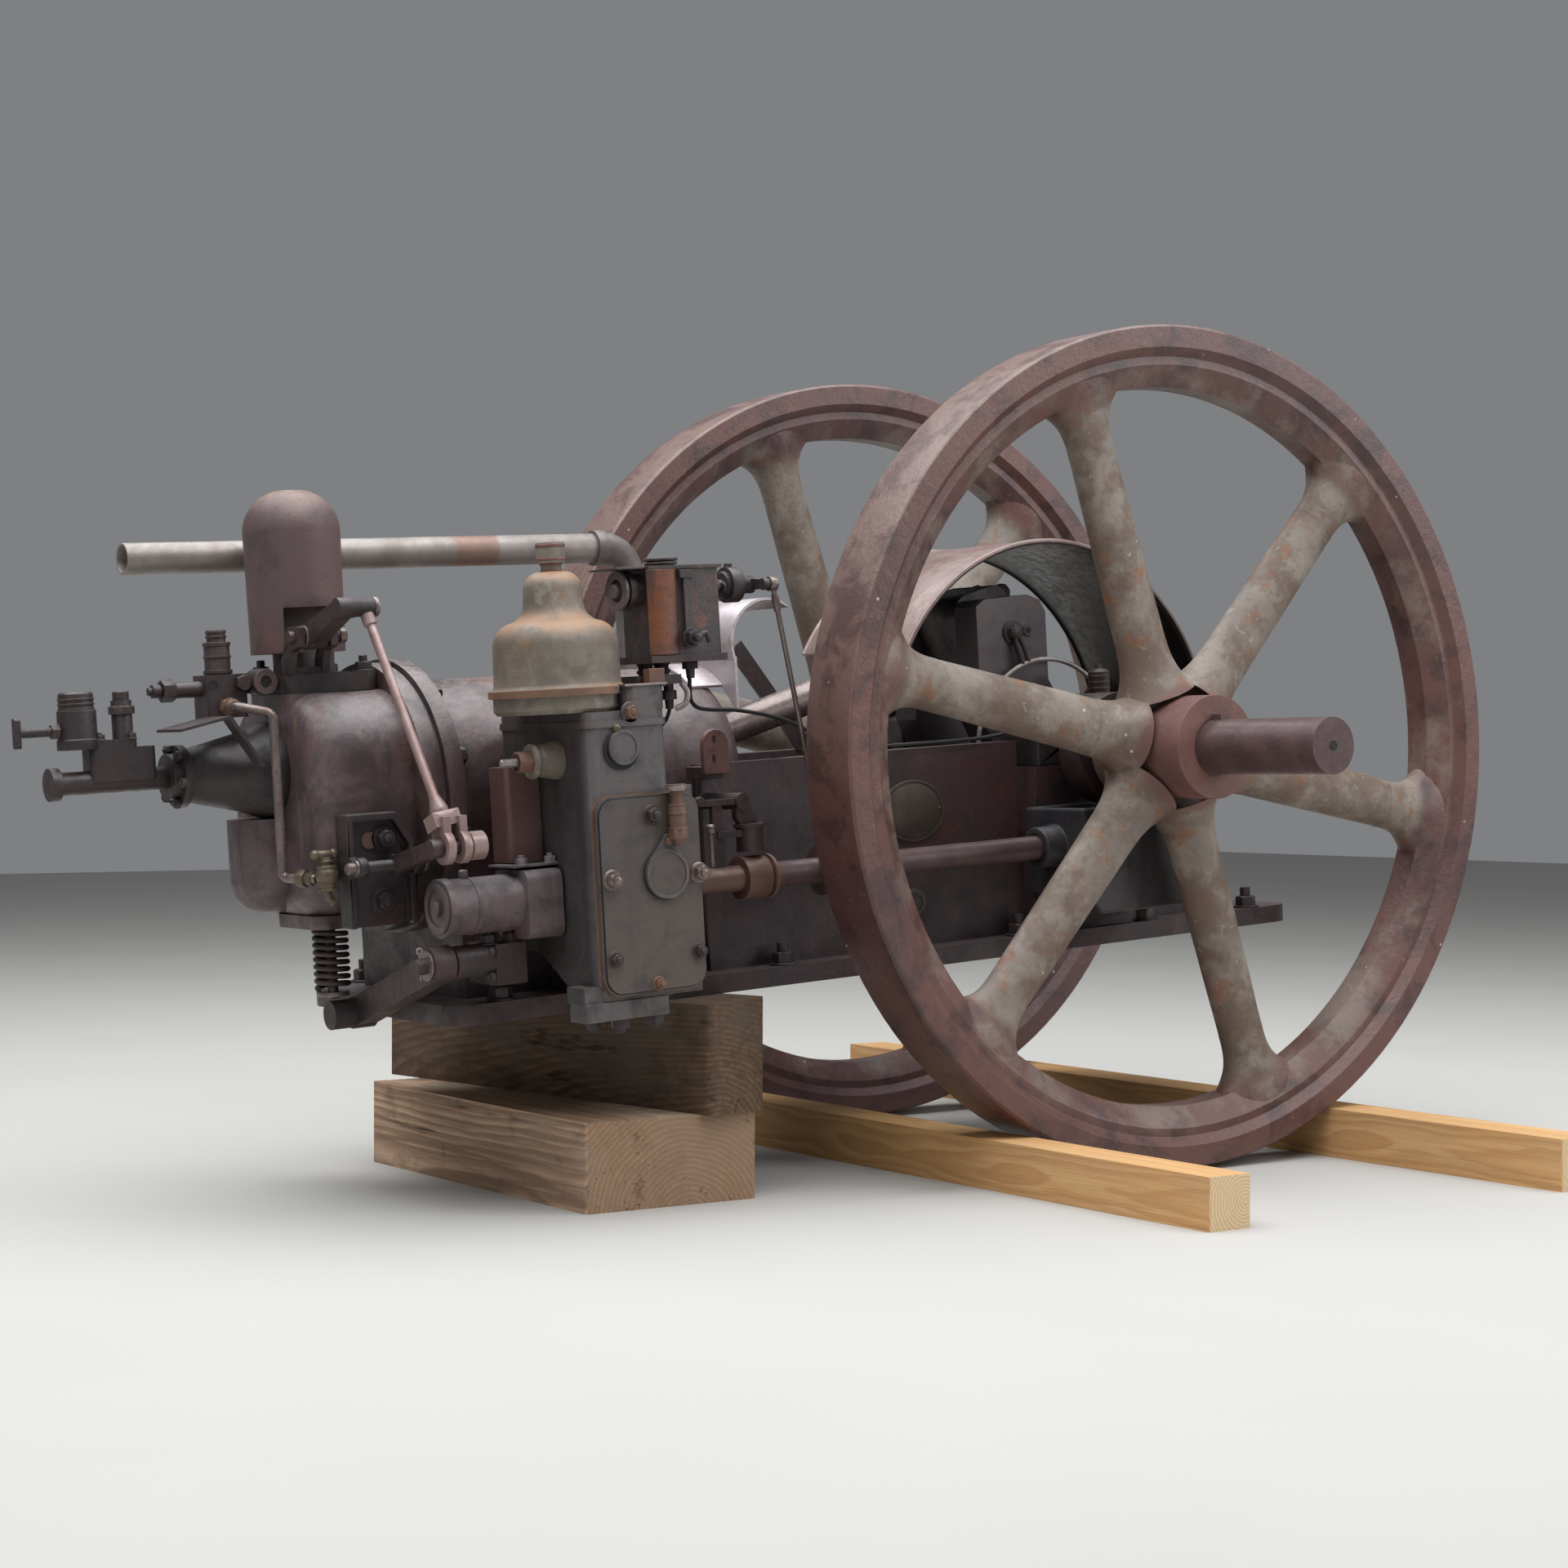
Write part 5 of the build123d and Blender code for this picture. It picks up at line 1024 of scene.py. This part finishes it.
bpy.context.scene.camera = cam

world = bpy.data.worlds.new("studio")
bpy.context.scene.world = world
world.use_nodes = True
world.node_tree.nodes["Background"].inputs[0].default_value = (0.93, 0.96, 1.0, 1)
world.node_tree.nodes["Background"].inputs[1].default_value = 0.225


def lamp(name, loc, target, size, energy, color=(1, 1, 1)):
    ld = bpy.data.lights.new(name, "AREA")
    ld.shape = "RECTANGLE"
    ld.size, ld.size_y = size
    ld.energy = energy
    ld.color = color
    lo = bpy.data.objects.new(name, ld)
    bpy.context.scene.collection.objects.link(lo)
    lo.location = loc
    lo.rotation_mode = "QUATERNION"
    lo.rotation_quaternion = (Vector(target) - Vector(loc)).to_track_quat("-Z", "Y")
    return lo


lamp("sky", (-0.4, -0.3, 4.6), (0, 0, 0.5), (7.0, 6.0), 590, (0.95, 0.98, 1.0))
lamp("left", (-4.6, -2.2, 3.0), (-0.2, 0, 0.7), (3.0, 3.0), 26, (1.0, 0.98, 0.95))
lamp("right", (3.8, -3.6, 2.6), (0.2, 0, 0.6), (2.6, 2.6), 95, (0.96, 0.98, 1.0))

fm = bpy.data.meshes.new("floor")
S = 14.0
fm.from_pydata([(-S, -S, 0), (S, -S, 0), (S, S, 0), (-S, S, 0)], [], [(0, 1, 2, 3)])
floor = bpy.data.objects.new("floor", fm)
bpy.context.scene.collection.objects.link(floor)
nf = Nodes("pale_floor")
fn = nf.noise(1.6, 3, 0.5)
nf.set(nf.mix(fn, (0.435, 0.420, 0.400), (0.47, 0.455, 0.43)), 0.8, 0.0, 0.2)
fm.materials.append(nf.mat)
bpy.context.scene.view_settings.view_transform = "Standard"
bpy.context.scene.view_settings.look = "None"

for nm, co in (("sleeper_lower", None), ("sleeper_upper", None), ("chock_front", None), ("chock_rear", None)):
    lo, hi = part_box(nm)
    c = (lo + hi) / 2
    old = nm.startswith("sleeper")
    if nm == "sleeper_lower":
        NODES[nm].data.materials.clear()
        NODES[nm].data.materials.append(wood(nm + "_wood", (c.x + 0.03, c.y, lo.z - 0.03), (0, 1, 0), (1, 0, 0), (0.58, 0.39, 0.26), (0.23, 0.14, 0.088), (0.37, 0.29, 0.22), 120, 0.75, 0.0, 1.0, wear=0.35, streaky=1.5, end=(0.30, 0.19, 0.115)))
        continue
    mat = wood(nm + "_wood", (c.x + 0.03, c.y, lo.z - 0.03 if old else c.z), (0, 1, 0), (1, 0, 0),
               (0.17, 0.105, 0.06) if old else (0.66, 0.40, 0.18), (0.075, 0.045, 0.028) if old else (0.50, 0.26, 0.10),
               (0.10, 0.08, 0.062) if old else (0.42, 0.30, 0.19), 120 if old else 190, 0.75 if old else 0.2, 0.0 if old else 0.8, 0.65 if old else 0.15, wear=0.35 if old else 0.0, streaky=1.5 if old else 1.0, end=None if old else (0.80, 0.66, 0.44))
    NODES[nm].data.materials.clear()
    NODES[nm].data.materials.append(mat)
